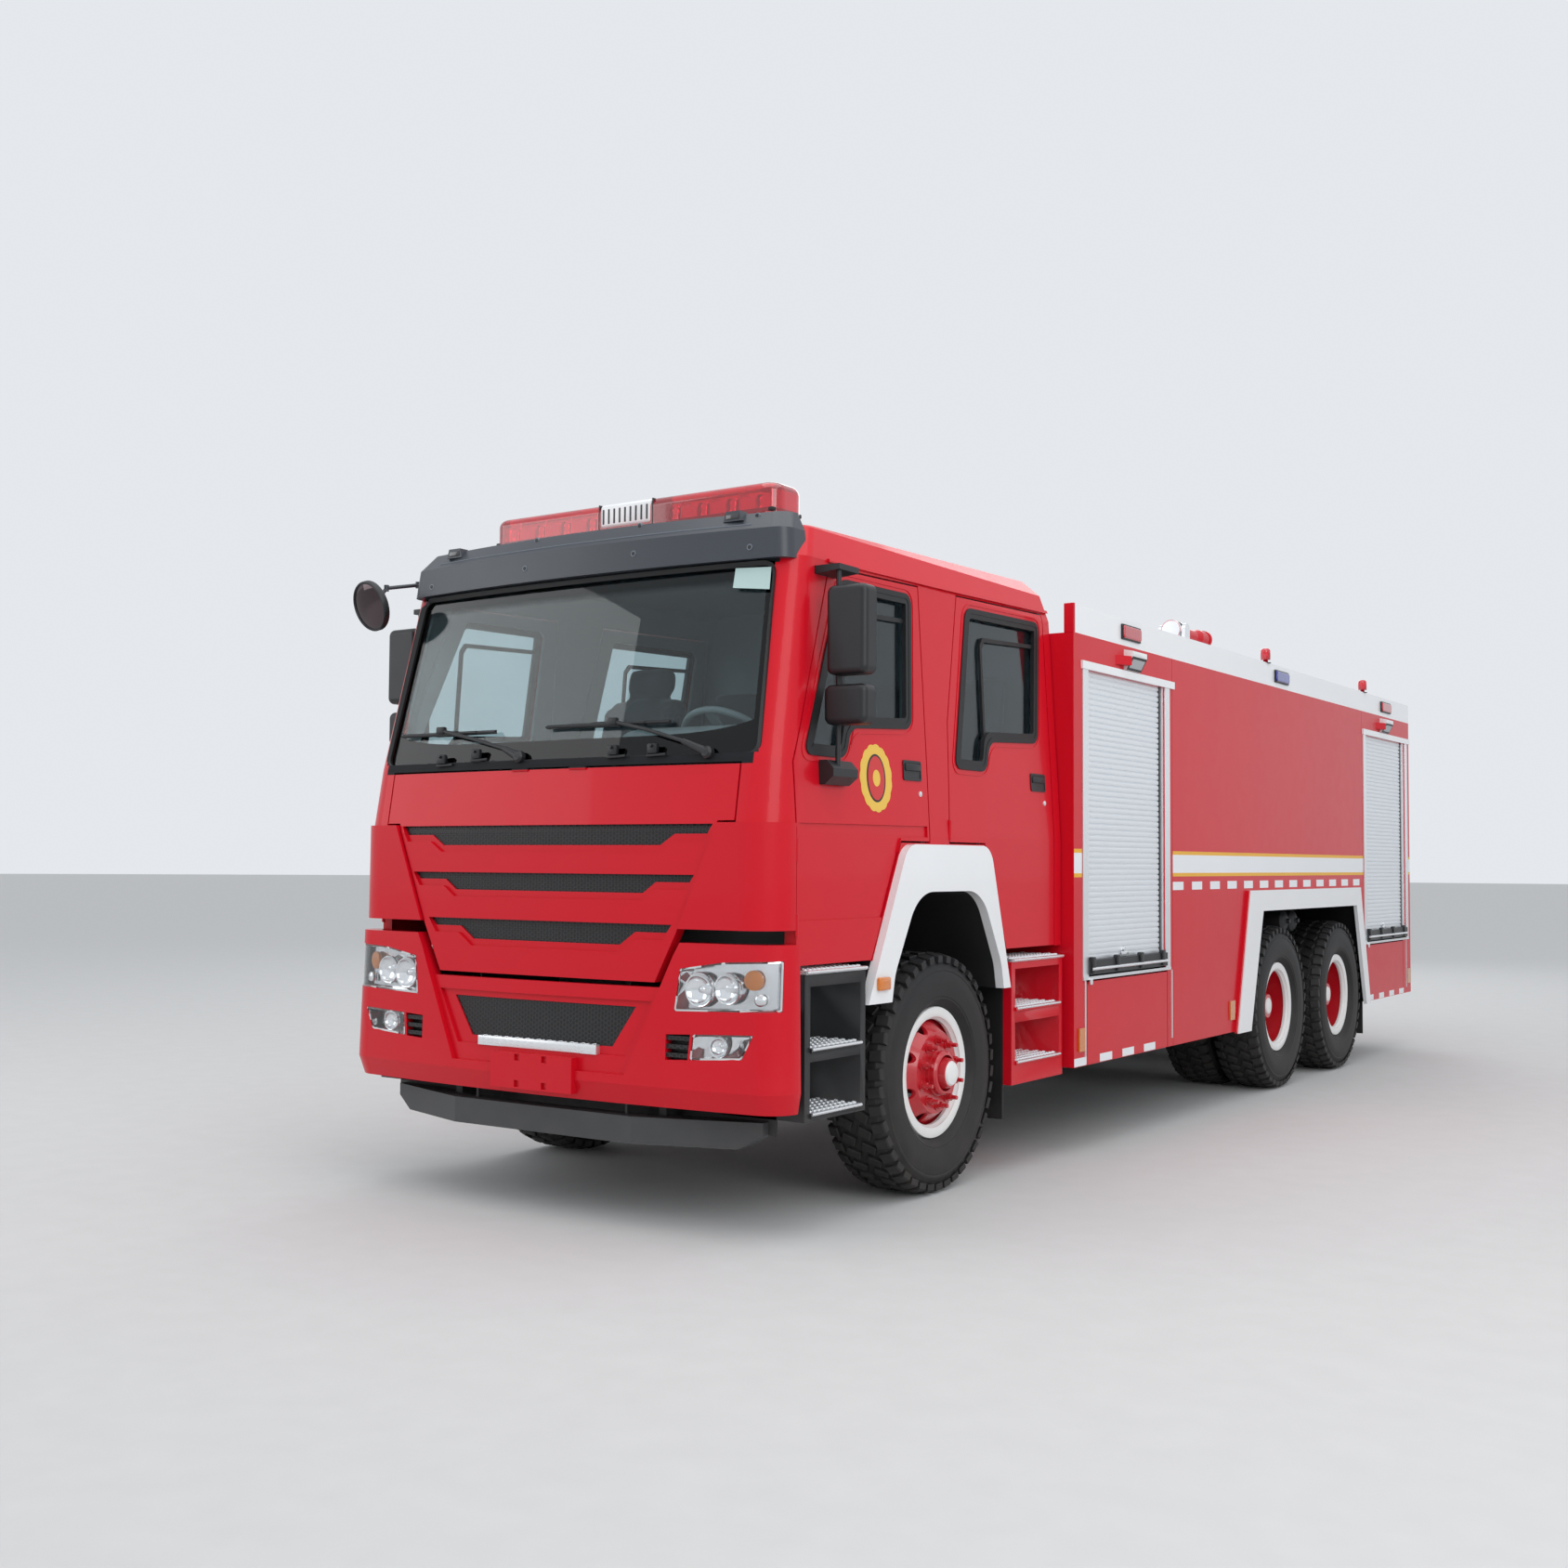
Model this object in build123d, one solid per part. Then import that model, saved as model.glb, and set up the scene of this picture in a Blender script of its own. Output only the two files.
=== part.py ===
from build123d import *
import math
import os

# Three-axle industrial fire truck: crew cab, equipment body, twin rear wheels and a roof water monitor.
# Millimetres. The front of the truck faces -Y, its left side is +X and +Z is up. The origin is on the ground
# under the middle of the truck. Lengthwise places are given as distances behind the front axle, by aft().

os.makedirs("parts", exist_ok=True)

# Driving dimensions of the whole truck.
FRONT_OVERHANG = 1470.0
WHEELBASE = 4600.0
TANDEM_SPACING = 1350.0
REAR_OVERHANG = 1980.0
BODY_WIDTH = 2500.0
LADDER_REACH = 76.0
REAR_AXLE = WHEELBASE + TANDEM_SPACING
TOTAL_LENGTH = FRONT_OVERHANG + WHEELBASE + TANDEM_SPACING + REAR_OVERHANG + LADDER_REACH
FIT_GAP = 0.3
SEAM_GAP = 8.0
HINGE_RADIUS = SEAM_GAP - FIT_GAP
HINGE_LENGTH = 90.0

# Wheels and tyres.
TYRE_RADIUS = 545.0
TYRE_WIDTH = 315.0
RIM_SEAT_RADIUS = 262.0
RIM_FLANGE_RADIUS = 295.0
RIM_WIDTH = 230.0
RIM_WALL = 10.0
DISC_WALL = 14.0
HAND_HOLES = 8
HAND_HOLE_RADIUS = 27.0
FRONT_TRACK_HALF = 1011.0
TWIN_TRACK_HALF = 915.0
TWIN_OFFSET = 175.0
SPINDLE_RADIUS = 36.0
REAR_SPINDLE_RADIUS = 70.0

# Front axle and steering.
KINGPIN_X = 880.0
KINGPIN_RADIUS = 20.0
EYE_RADIUS = 46.0
EYE_HEIGHT = 110.0
EAR_HEIGHT = 34.0
BEAM_HALF_Z = 45.0

# Frame.
RAIL_OUTSIDE = 430.0
RAIL_FLANGE = 80.0
RAIL_WALL = 8.0
FRAME_BOTTOM = 720.0
FRAME_TOP = 1020.0

# Cab shell. Each section: height, half width, front, bow of the front, corner radius.
CAB_REAR = 1236.0
CAB_BOTTOM = 1080.0
CORNER_BOTTOM = 1225.0
PANEL_BOTTOM = 1005.0
CAB_WALL = 50.0
CAB_FLOOR_Z = 1400.0
CAB_FLOOR_WALL = 40.0
CAB_HALF_WIDTH = 1180.0
CAB_SECTIONS = [
    # z, half_width, front, bow, corner
    (PANEL_BOTTOM, CAB_HALF_WIDTH, -1410.0, 25.0, 165.0),
    (1620.0, CAB_HALF_WIDTH, -1405.0, 25.0, 165.0),
    (1915.0, 1164.0, -1372.0, 40.0, 150.0),
    (2760.0, 1112.0, -1185.0, 55.0, 120.0),
    (2900.0, 1060.0, -1090.0, 60.0, 110.0),
    (2985.0, 960.0, -960.0, 60.0, 100.0),
]

# Doors: outline points as (distance behind the front axle, height).
FRONT_DOOR_EDGE = -1220.0
REAR_DOOR_EDGE = 44.0
FRONT_DOOR = [
    (FRONT_DOOR_EDGE, CAB_BOTTOM), (-640.0, CAB_BOTTOM), (-395.0, 1590.0), (-140.0, 1590.0),
    (-140.0, 2755.0), (-890.0, 2735.0), (FRONT_DOOR_EDGE, 1900.0),
]
DOOR_RECESS_DEPTH = 9.0
DOOR_RECESS = [(FRONT_DOOR_EDGE + 24, 1262.0), (-545.0, 1262.0), (-395.0, 1605.0), (-160.0, 1612.0),
               (-160.0, 1662.0), (FRONT_DOOR_EDGE + 24, 1655.0)]
REAR_DOOR = [
    (395.0, 1590.0), (620.0, CAB_BOTTOM), (1160.0, CAB_BOTTOM), (1160.0, 2790.0),
    (227.0, 2762.0), (75.0, 2150.0), (REAR_DOOR_EDGE, 1600.0), (REAR_DOOR_EDGE, 1590.0),
]
FRONT_WINDOW = [
    (-1120.0, 1950.0), (-840.0, 1950.0), (-800.0, 2080.0), (-283.0, 2110.0),
    (-230.0, 2690.0), (-800.0, 2680.0),
]
REAR_WINDOW = [
    (145.0, 1954.0), (428.0, 1954.0), (467.0, 2100.0), (1000.0, 2125.0),
    (1085.0, 2720.0), (322.0, 2700.0),
]
FRONT_DOOR_HINGES = (1200.0, 1500.0)
REAR_DOOR_HINGES = (1605.0,)
GLASS_WALL = 6.0
SCREEN_INSET = 15.0
MESH_INSET = 20.0
MESH_WALL = 6.0
LAMP_INSET = 3.0
WINDSCREEN = [(-1062.0, 1935.0), (1062.0, 1935.0), (1010.0, 2735.0), (-1010.0, 2735.0)]

# Radiator panel between the windscreen and the bumper.
PANEL_LID_HALF = 985.0
PANEL_LID_BOTTOM = 1662.0
PANEL_MASK_HALF = 905.0
PANEL_WAIST_HALF = 715.0
PANEL_FOOT_HALF = 610.0
PANEL_TOP = 1890.0
PANEL_HINGE = (-1375.0, PANEL_TOP)
PANEL_HINGE_X = 120.0
PANEL_LIP_DEPTH = 13.0
PANEL_LIP = 30.0
PANEL_SLOTS = [
    # half widths: end top, end bottom, middle top, middle bottom; heights: middle bottom, end bottom, top
    (885.0, 855.0, 692.0, 620.0, 1563.0, 1609.0, 1649.0),
    (800.0, 768.0, 600.0, 533.0, 1366.0, 1412.0, 1443.0),
    (692.0, 655.0, 498.0, 418.0, 1151.0, 1206.0, 1240.0),
]
CORNER_PROUD = 14.0
CORNER_TOP = PANEL_LID_BOTTOM - SEAM_GAP

# White wheel-arch flare of the cab.
FLARE_OUTSIDE = 1215.0
FLARE_INSIDE = 700.0
FLARE_LINER = 20.0
ARCH_FOOT = 900.0
ARCH_OUTLINE = [(-720.0, ARCH_FOOT), (-390.0, 1580.0), (390.0, 1580.0), (600.0, ARCH_FOOT)]
ARCH_CORNER = 110.0
ARCH_OPENING = [(-525.0, ARCH_FOOT), (-500.0, 1020.0), (-300.0, 1369.0), (300.0, 1369.0), (500.0, 1020.0),
                (525.0, ARCH_FOOT)]
ARCH_OPENING_CORNER = 230.0

# Equipment body.
BODY_FRONT = CAB_REAR + 9.0
BODY_BOTTOM = 453.0
BODY_TOP = 2700.0
BODY_HALF = BODY_WIDTH / 2
BODY_REAR = REAR_AXLE + REAR_OVERHANG
LOCKER_INSIDE = 560.0
COAMING_TOP = BODY_TOP + 150.0
COAMING_WALL = 35.0
REAR_ARCH_CUT = [(WHEELBASE - 770.0, BODY_BOTTOM), (WHEELBASE - 500.0, 1230.0),
                 (REAR_AXLE + 365.0, 1230.0), (REAR_AXLE + 650.0, BODY_BOTTOM)]
REAR_ARCH_TOP = [(WHEELBASE - 465.0, 1200.0), (REAR_AXLE + 327.0, 1200.0)]
REAR_ARCH_FEET = [(WHEELBASE - 710.0, BODY_BOTTOM), (REAR_AXLE + 572.0, BODY_BOTTOM)]
REAR_ARCH_OUTER = [(WHEELBASE - 957.0, BODY_BOTTOM - 13), (WHEELBASE - 707.0, 1335.0),
                   (REAR_AXLE + 438.0, 1335.0), (REAR_AXLE + 690.0, BODY_BOTTOM - 13)]
ARCH_FRAME_PROUD = 25.0
SHUTTERS = [
    # front, rear, flap front, flap rear
    (BODY_FRONT + 175.0, BODY_FRONT + 1245.0, BODY_FRONT + 155.0, BODY_FRONT + 1278.0),
    (BODY_REAR - 1300.0, BODY_REAR - 140.0, BODY_REAR - 1294.0, BODY_REAR - 230.0),
]
SHUTTER_BOTTOM = 900.0
SHUTTER_TOP = BODY_TOP - 180.0
SHUTTER_RECESS = 60.0
SHUTTER_INSET = 20.0
SHUTTER_WALL = 25.0
FLAP_WALL = 40.0
FLAP_HINGE_INSET = 12.0
FLAP_PIN_RADIUS = 6.0

# Roof water monitor.
MONITOR_AFT = REAR_AXLE - 100.0
MONITOR_PIVOT_Z = BODY_TOP + 630.0
MONITOR_BASE_TOP = BODY_TOP + 400.0
MONITOR_BORE_RADIUS = 32.0


def aft(distance):
    """Y of a place this far behind the front axle."""
    return distance + FRONT_OVERHANG - TOTAL_LENGTH / 2


def block(x_range, y_range, z_range):
    """A box between two places along each axis, with lengthwise places behind the front axle."""
    size = [span[1] - span[0] for span in (x_range, y_range, z_range)]
    middle = [(span[0] + span[1]) / 2 for span in (x_range, y_range, z_range)]
    return Pos(middle[0], aft(middle[1]), middle[2]) * Box(*size)


def side_prism(outline, x_range):
    """A prism across the truck from an outline of (distance behind the front axle, height)."""
    wire = Wire.make_polygon([Vector(x_range[0], aft(y), z) for y, z in outline])
    return Solid.extrude(Face(wire), Vector(x_range[1] - x_range[0], 0, 0))


def front_prism(outline, y_range):
    """A prism along the truck from an outline of (x, height)."""
    wire = Wire.make_polygon([Vector(x, aft(y_range[0]), z) for x, z in outline])
    return Solid.extrude(Face(wire), Vector(0, y_range[1] - y_range[0], 0))


def rod(radius, start, end):
    """A round bar between two points, with lengthwise places behind the front axle."""
    first = Vector(start[0], aft(start[1]), start[2])
    last = Vector(end[0], aft(end[1]), end[2])
    return Solid.make_cylinder(radius, (last - first).length, Plane(origin=first, z_dir=last - first))


def other_side(shape):
    return mirror(shape, about=Plane.YZ)


def both_sides(*shapes):
    return [piece for shape in shapes for piece in (shape, other_side(shape))]


def solids_of(shape):
    if isinstance(shape, (list, tuple)):
        return [solid for piece in shape for solid in solids_of(piece)]
    return list(shape.solids())


def save(name, *shapes):
    solids = solids_of(shapes)
    whole = solids[0] if len(solids) == 1 else Compound(children=solids)
    export_step(whole, f"parts/{name}.step")


def one(result):
    """A boolean result as one shape, whether it came as a solid or as a list of them."""
    solids = result.solids()
    return solids[0] if len(solids) == 1 else Compound(children=list(solids))


def fuse(shapes):
    first, *rest = shapes
    return one(first.fuse(*rest))


def carve(shape, *tools):
    return one(shape.cut(*tools))


def common(first, second):
    return one(first.intersect(second))


# Wheels. The profile points are (distance out from the tyre's middle, radius).
def turned(profile, middle_x, sign, axle_aft):
    """Spin a profile about an axle. sign is 1 on the left side and -1 on the right."""
    points = [Vector(middle_x + sign * x, aft(axle_aft), TYRE_RADIUS + r) for x, r in profile]
    axis = Axis((0, aft(axle_aft), TYRE_RADIUS), (1, 0, 0))
    return Solid.revolve(Face(Wire.make_polygon(points)), 360, axis)


TYRE_HALF = TYRE_WIDTH / 2
BEAD_HALF = RIM_WIDTH / 2 - RIM_WALL - FIT_GAP
TYRE_BEAD = RIM_SEAT_RADIUS + FIT_GAP
TYRE_PROFILE = [
    (-BEAD_HALF, TYRE_BEAD), (-BEAD_HALF, RIM_FLANGE_RADIUS + 4), (-TYRE_HALF, 390), (-TYRE_HALF + 12, 490),
    (-TYRE_HALF + 40, TYRE_RADIUS - 6), (-TYRE_HALF + 60, TYRE_RADIUS),
    (TYRE_HALF - 60, TYRE_RADIUS), (TYRE_HALF - 40, TYRE_RADIUS - 6), (TYRE_HALF - 12, 490),
    (TYRE_HALF, 390), (BEAD_HALF, RIM_FLANGE_RADIUS + 4), (BEAD_HALF, TYRE_BEAD),
]


def barrel(middle):
    """Profile of a rim's barrel with its two flanges, about the middle of its tyre."""
    half = RIM_WIDTH / 2
    seat, inner, flange = RIM_SEAT_RADIUS, RIM_SEAT_RADIUS - RIM_WALL, RIM_FLANGE_RADIUS
    return [
        (middle - half, inner), (middle - half, flange), (middle - half + RIM_WALL, flange),
        (middle - half + RIM_WALL, seat), (middle + half - RIM_WALL, seat),
        (middle + half - RIM_WALL, flange), (middle + half, flange), (middle + half, inner),
    ]


FRONT_DISC_OUT = 130.0
HUB_RADIUS = 105.0
HUB_CAP_OUT = 205.0
HUB_CAP_RADIUS = 78.0


def front_rim(sign):
    centre = sign * FRONT_TRACK_HALF
    disc = [
        (30, RIM_SEAT_RADIUS - RIM_WALL + 2), (30 + DISC_WALL, RIM_SEAT_RADIUS - RIM_WALL + 2),
        (FRONT_DISC_OUT, 185), (FRONT_DISC_OUT, HUB_RADIUS - 5),
        (FRONT_DISC_OUT - DISC_WALL, HUB_RADIUS - 5), (FRONT_DISC_OUT - DISC_WALL, 178),
    ]
    bore = SPINDLE_RADIUS + FIT_GAP
    hub = [
        (-20, bore), (-20, HUB_RADIUS), (FRONT_DISC_OUT + 15, HUB_RADIUS),
        (FRONT_DISC_OUT + 20, HUB_CAP_RADIUS), (HUB_CAP_OUT, HUB_CAP_RADIUS - 14), (HUB_CAP_OUT, 0),
        (FRONT_DISC_OUT + 30, 0), (FRONT_DISC_OUT + 30, bore),
    ]
    rim = fuse([turned(profile, centre, sign, 0) for profile in (barrel(0), disc, hub)])
    return carve(rim, *hand_holes(centre, sign, 0, 218, (20, FRONT_DISC_OUT + 40)))


def hand_holes(centre, sign, axle_aft, ring_radius, reach):
    holes = []
    for index in range(HAND_HOLES):
        turn = 2 * math.pi * (index + 0.5) / HAND_HOLES
        y = axle_aft + ring_radius * math.cos(turn)
        z = TYRE_RADIUS + ring_radius * math.sin(turn)
        holes.append(rod(HAND_HOLE_RADIUS, (centre + sign * reach[0], y, z), (centre + sign * reach[1], y, z)))
    return holes


REAR_HUB_OUT = 230.0


def twin_rim(sign, axle_aft):
    centre = sign * TWIN_TRACK_HALF
    inner = RIM_SEAT_RADIUS - RIM_WALL + 2
    discs = []
    for way in (1, -1):
        discs.append([(way * 62, inner), (way * (62 + DISC_WALL + 6), inner), (way * DISC_WALL, 190),
                      (way * DISC_WALL, HUB_RADIUS), (0, HUB_RADIUS), (0, 184)])
    bore = REAR_SPINDLE_RADIUS + FIT_GAP
    hub = [
        (-70, bore), (-70, HUB_RADIUS + 15), (30, HUB_RADIUS + 15), (60, HUB_RADIUS - 5),
        (REAR_HUB_OUT - 30, HUB_RADIUS - 10), (REAR_HUB_OUT, HUB_CAP_RADIUS), (REAR_HUB_OUT, 0),
        (REAR_HUB_OUT - 40, 0), (REAR_HUB_OUT - 40, bore),
    ]
    profiles = [barrel(TWIN_OFFSET), barrel(-TWIN_OFFSET)] + discs + [hub]
    rim = fuse([turned(profile, centre, sign, axle_aft) for profile in profiles])
    return carve(rim, *hand_holes(centre, sign, axle_aft, 222, (-120, 120)))


REAR_AXLES = {"middle": WHEELBASE, "rear": REAR_AXLE}
for side, sign in (("left", 1), ("right", -1)):
    save(f"tyre_front_{side}", turned(TYRE_PROFILE, sign * FRONT_TRACK_HALF, sign, 0))
    save(f"rim_front_{side}", front_rim(sign))
    for row, place in REAR_AXLES.items():
        pair = [turned(TYRE_PROFILE, sign * (TWIN_TRACK_HALF + out), sign, place)
                for out in (TWIN_OFFSET, -TWIN_OFFSET)]
        save(f"tyres_{row}_{side}", pair)
        save(f"rims_{row}_{side}", twin_rim(sign, place))


# Steering knuckle: two ears on the kingpin, joined outboard of the axle's eye, and the wheel spindle.
def knuckle():
    eye_low = TYRE_RADIUS - EYE_HEIGHT / 2
    eye_high = TYRE_RADIUS + EYE_HEIGHT / 2
    low = eye_low - FIT_GAP - EAR_HEIGHT
    high = eye_high + FIT_GAP + EAR_HEIGHT
    web_x = KINGPIN_X + EYE_RADIUS + 5
    pieces = [rod(KINGPIN_RADIUS, (KINGPIN_X, 0, low), (KINGPIN_X, 0, high))]
    for bottom in (low, high - EAR_HEIGHT):
        pieces.append(rod(EYE_RADIUS, (KINGPIN_X, 0, bottom), (KINGPIN_X, 0, bottom + EAR_HEIGHT)))
        pieces.append(block((KINGPIN_X, web_x + 1), (-40, 40), (bottom, bottom + EAR_HEIGHT)))
    pieces.append(block((web_x, web_x + 30), (-55, 55), (low, high)))
    pieces.append(rod(SPINDLE_RADIUS, (web_x + 10, 0, TYRE_RADIUS),
                      (FRONT_TRACK_HALF + FRONT_DISC_OUT + 10, 0, TYRE_RADIUS)))
    return fuse(pieces)


save("knuckle_left", knuckle())
save("knuckle_right", other_side(knuckle()))

# Front axle: dropped beam with kingpin eyes, and leaf springs under the rails.
SPRING_HALF = 780.0
SPRING_WIDTH = 80.0
SPRING_WALL = 60.0
BEAM_TOP = TYRE_RADIUS - 20
BEAM_DEEP = 90.0


def leaf_spring(middle_aft, half, low, high, wall, lift=1):
    """A bowed leaf pack, as a curved bar: its middle rests at low and its ends reach high."""
    ends = [(middle_aft - half, high), (middle_aft + half, high)]
    first, last = [Vector(RAIL_OUTSIDE - SPRING_WIDTH, aft(y), z) for y, z in ends]
    centre = Vector(first.X, aft(middle_aft), low)
    rise = Vector(0, 0, wall)
    edges = [
        Edge.make_three_point_arc(first, centre, last),
        Edge.make_line(last, last + rise * lift),
        Edge.make_three_point_arc(last + rise * lift, centre + rise * lift, first + rise * lift),
        Edge.make_line(first + rise * lift, first),
    ]
    return Solid.extrude(Face(Wire(edges)), Vector(SPRING_WIDTH, 0, 0))


def front_axle():
    eye = rod(EYE_RADIUS, (KINGPIN_X, 0, TYRE_RADIUS - EYE_HEIGHT / 2),
              (KINGPIN_X, 0, TYRE_RADIUS + EYE_HEIGHT / 2))
    arm = front_prism([
        (0, BEAM_TOP - BEAM_DEEP - 60), (0, BEAM_TOP - 60), (560, BEAM_TOP - 60),
        (720, TYRE_RADIUS + BEAM_HALF_Z), (KINGPIN_X - 20, TYRE_RADIUS + BEAM_HALF_Z),
        (KINGPIN_X - 20, TYRE_RADIUS - BEAM_HALF_Z), (740, TYRE_RADIUS - BEAM_HALF_Z),
        (600, BEAM_TOP - BEAM_DEEP - 60),
    ], (-50, 50))
    hole = rod(KINGPIN_RADIUS + FIT_GAP, (KINGPIN_X, 0, TYRE_RADIUS - EYE_HEIGHT),
               (KINGPIN_X, 0, TYRE_RADIUS + EYE_HEIGHT))
    half = carve(fuse([eye, arm]), hole)
    beam = fuse([half, other_side(half)])
    spring = leaf_spring(0, SPRING_HALF, BEAM_TOP - 60, FRAME_BOTTOM - SPRING_WALL, SPRING_WALL)
    return [beam] + both_sides(spring)


save("front_axle", front_axle())

# Tandem rear axles: a tube with its differential housing on each, and one spring pack across both.
AXLE_TUBE = 78.0
DIFF_RADIUS = 210.0


def rear_axle(place):
    tube = rod(AXLE_TUBE, (-640, place, TYRE_RADIUS), (640, place, TYRE_RADIUS))
    end = TWIN_TRACK_HALF + REAR_HUB_OUT - 45
    spindle = rod(REAR_SPINDLE_RADIUS, (-end, place, TYRE_RADIUS), (end, place, TYRE_RADIUS))
    bulge = [(-260, 0), (-260, AXLE_TUBE), (-110, DIFF_RADIUS), (110, DIFF_RADIUS), (260, AXLE_TUBE), (260, 0)]
    housing = turned(bulge, 0, 1, place)
    return fuse([tube, spindle, housing])


def rear_springs():
    middle = WHEELBASE + TANDEM_SPACING / 2
    spring = leaf_spring(middle, TANDEM_SPACING / 2, FRAME_BOTTOM - SPRING_WALL,
                         TYRE_RADIUS + AXLE_TUBE, SPRING_WALL)
    return both_sides(spring)


save("rear_axles", [rear_axle(place) for place in REAR_AXLES.values()], rear_springs())

# Frame: two channel rails and cross members.
FRAME_FRONT = -1330.0
FRAME_REAR = BODY_REAR - 130.0
CAB_MOUNT_PLACES = (-1150.0, 1050.0)
CROSS_PLACES = (-1250.0, 700.0, WHEELBASE - 2400, WHEELBASE - 900, WHEELBASE + TANDEM_SPACING / 2,
                REAR_AXLE + 850, BODY_REAR - 230)


def frame_rails():
    outside, inside = RAIL_OUTSIDE, RAIL_OUTSIDE - RAIL_FLANGE
    channel = front_prism([
        (inside, FRAME_BOTTOM), (outside, FRAME_BOTTOM), (outside, FRAME_TOP), (inside, FRAME_TOP),
        (inside, FRAME_TOP - RAIL_WALL), (outside - RAIL_WALL, FRAME_TOP - RAIL_WALL),
        (outside - RAIL_WALL, FRAME_BOTTOM + RAIL_WALL), (inside, FRAME_BOTTOM + RAIL_WALL),
    ], (FRAME_FRONT, FRAME_REAR))
    web = outside - RAIL_WALL
    members = [block((-web, web), (place - 40, place + 40), (FRAME_BOTTOM + 60, FRAME_TOP - 60))
               for place in CROSS_PLACES]
    frame = fuse(both_sides(channel) + members)
    return carve(frame, block((-inside, inside), (-960, 360), (0, FRAME_TOP)))


save("frame_rails", frame_rails(), both_sides(*[
    block((RAIL_OUTSIDE - RAIL_FLANGE, RAIL_OUTSIDE), (place - 60, place + 60), (FRAME_TOP, CAB_FLOOR_Z))
    for place in CAB_MOUNT_PLACES]))
save("engine_block", block((-(RAIL_OUTSIDE - RAIL_FLANGE), RAIL_OUTSIDE - RAIL_FLANGE), (-900, 300), (640, 1300)))


# Cab shell: outer and inner lofts through the same table of sections.
def cab_section(z, half_width, front, bow, corner, inset=0.0):
    width = half_width - inset
    nose = aft(front + inset)
    arc_end = nose + bow
    straight = width - corner
    bend = corner * (1 - math.sqrt(0.5))
    rear = aft(CAB_REAR - inset)
    points = [
        Vector(-width, arc_end + corner, z), Vector(-width + bend, arc_end + bend, z),
        Vector(-straight, arc_end, z), Vector(0, nose, z), Vector(straight, arc_end, z),
        Vector(width - bend, arc_end + bend, z), Vector(width, arc_end + corner, z),
    ]
    edges = [
        Edge.make_three_point_arc(points[0], points[1], points[2]),
        Edge.make_three_point_arc(points[2], points[3], points[4]),
        Edge.make_three_point_arc(points[4], points[5], points[6]),
        Edge.make_line(points[6], Vector(width, rear, z)),
        Edge.make_line(Vector(width, rear, z), Vector(-width, rear, z)),
        Edge.make_line(Vector(-width, rear, z), points[0]),
    ]
    return Wire(edges)


ROOF_FRONT_Z = 2905.0
ROOF_FRONT_AFT = -1080.0
ROOF_NOSE_DROP = 160.0
ROOF_REAR_RISE = 80.0
FAR = 1600.0


def cab_solid(inset):
    """The cab's outer form, or with an inset its inner space, open below."""
    wires = [cab_section(*section, inset) for section in CAB_SECTIONS]
    roof_z = ROOF_FRONT_Z - inset
    above = side_prism([
        (-FAR, roof_z - ROOF_NOSE_DROP), (ROOF_FRONT_AFT, roof_z), (CAB_REAR, roof_z + ROOF_REAR_RISE),
        (FAR, roof_z + ROOF_REAR_RISE), (FAR, 2 * roof_z), (-FAR, 2 * roof_z),
    ], (-FAR, FAR))
    return carve(Solid.make_loft(wires, ruled=True), above)


def grown_face(outline, by, corner):
    """A flat outline grown by a gap, with its upper corners rounded."""
    flat = make_face(Polyline(*outline, close=True))
    if by:
        flat = offset(flat, by, kind=Kind.INTERSECTION)
    if corner:
        foot = min(vertex.Y for vertex in flat.vertices())
        flat = fillet([vertex for vertex in flat.vertices() if vertex.Y > foot + 1], corner + by)
    return flat


def outline_prism(outline, x_range, by=0.0, corner=0.0):
    """A prism across the truck from a side outline grown by a gap."""
    plane = Plane(origin=(x_range[0], aft(0), 0), x_dir=(0, 1, 0), z_dir=(1, 0, 0))
    return extrude(plane * grown_face(outline, by, corner), x_range[1] - x_range[0], dir=(1, 0, 0))


def grown_front_prism(outline, y_range, by):
    """A prism along the truck from a front outline grown by a gap."""
    plane = Plane(origin=(0, aft(y_range[0]), 0), x_dir=(1, 0, 0), z_dir=(0, -1, 0))
    return extrude(plane * grown_face(outline, by, 0.0), y_range[1] - y_range[0], dir=(0, 1, 0))


def arch_prism(x_range, by=0.0):
    return outline_prism(ARCH_OUTLINE, x_range, by, ARCH_CORNER)


def arch_opening(x_range, by=0.0):
    return outline_prism(ARCH_OPENING, x_range, by, ARCH_OPENING_CORNER)


def cab_skin(inset, wall):
    """A thin skin of the cab's form, some way inside its outer face."""
    return carve(cab_solid(inset), cab_solid(inset + wall))


cab_outer = cab_solid(0.0)
cab_walls = carve(cab_outer, cab_solid(CAB_WALL))
SIDE = (CAB_HALF_WIDTH - 300, CAB_HALF_WIDTH + 100)
arch_plug = arch_prism(SIDE, SEAM_GAP)
WINDOW_CORNER = 38.0


def rounded_window(outline):
    flat = fillet(make_face(Polyline(*outline, close=True)).vertices(), WINDOW_CORNER)
    plane = Plane(origin=(SIDE[0], aft(0), 0), x_dir=(0, 1, 0), z_dir=(1, 0, 0))
    return extrude(plane * flat, SIDE[1] - SIDE[0], dir=(1, 0, 0))


def hinge_barrels(outline, places, radius):
    """Upright barrels along a door's front edge."""
    edge = min(y for y, z in outline) + SEAM_GAP / 2
    return [rod(radius, (CAB_HALF_WIDTH, edge, z), (CAB_HALF_WIDTH, edge, z + HINGE_LENGTH)) for z in places]


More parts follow.
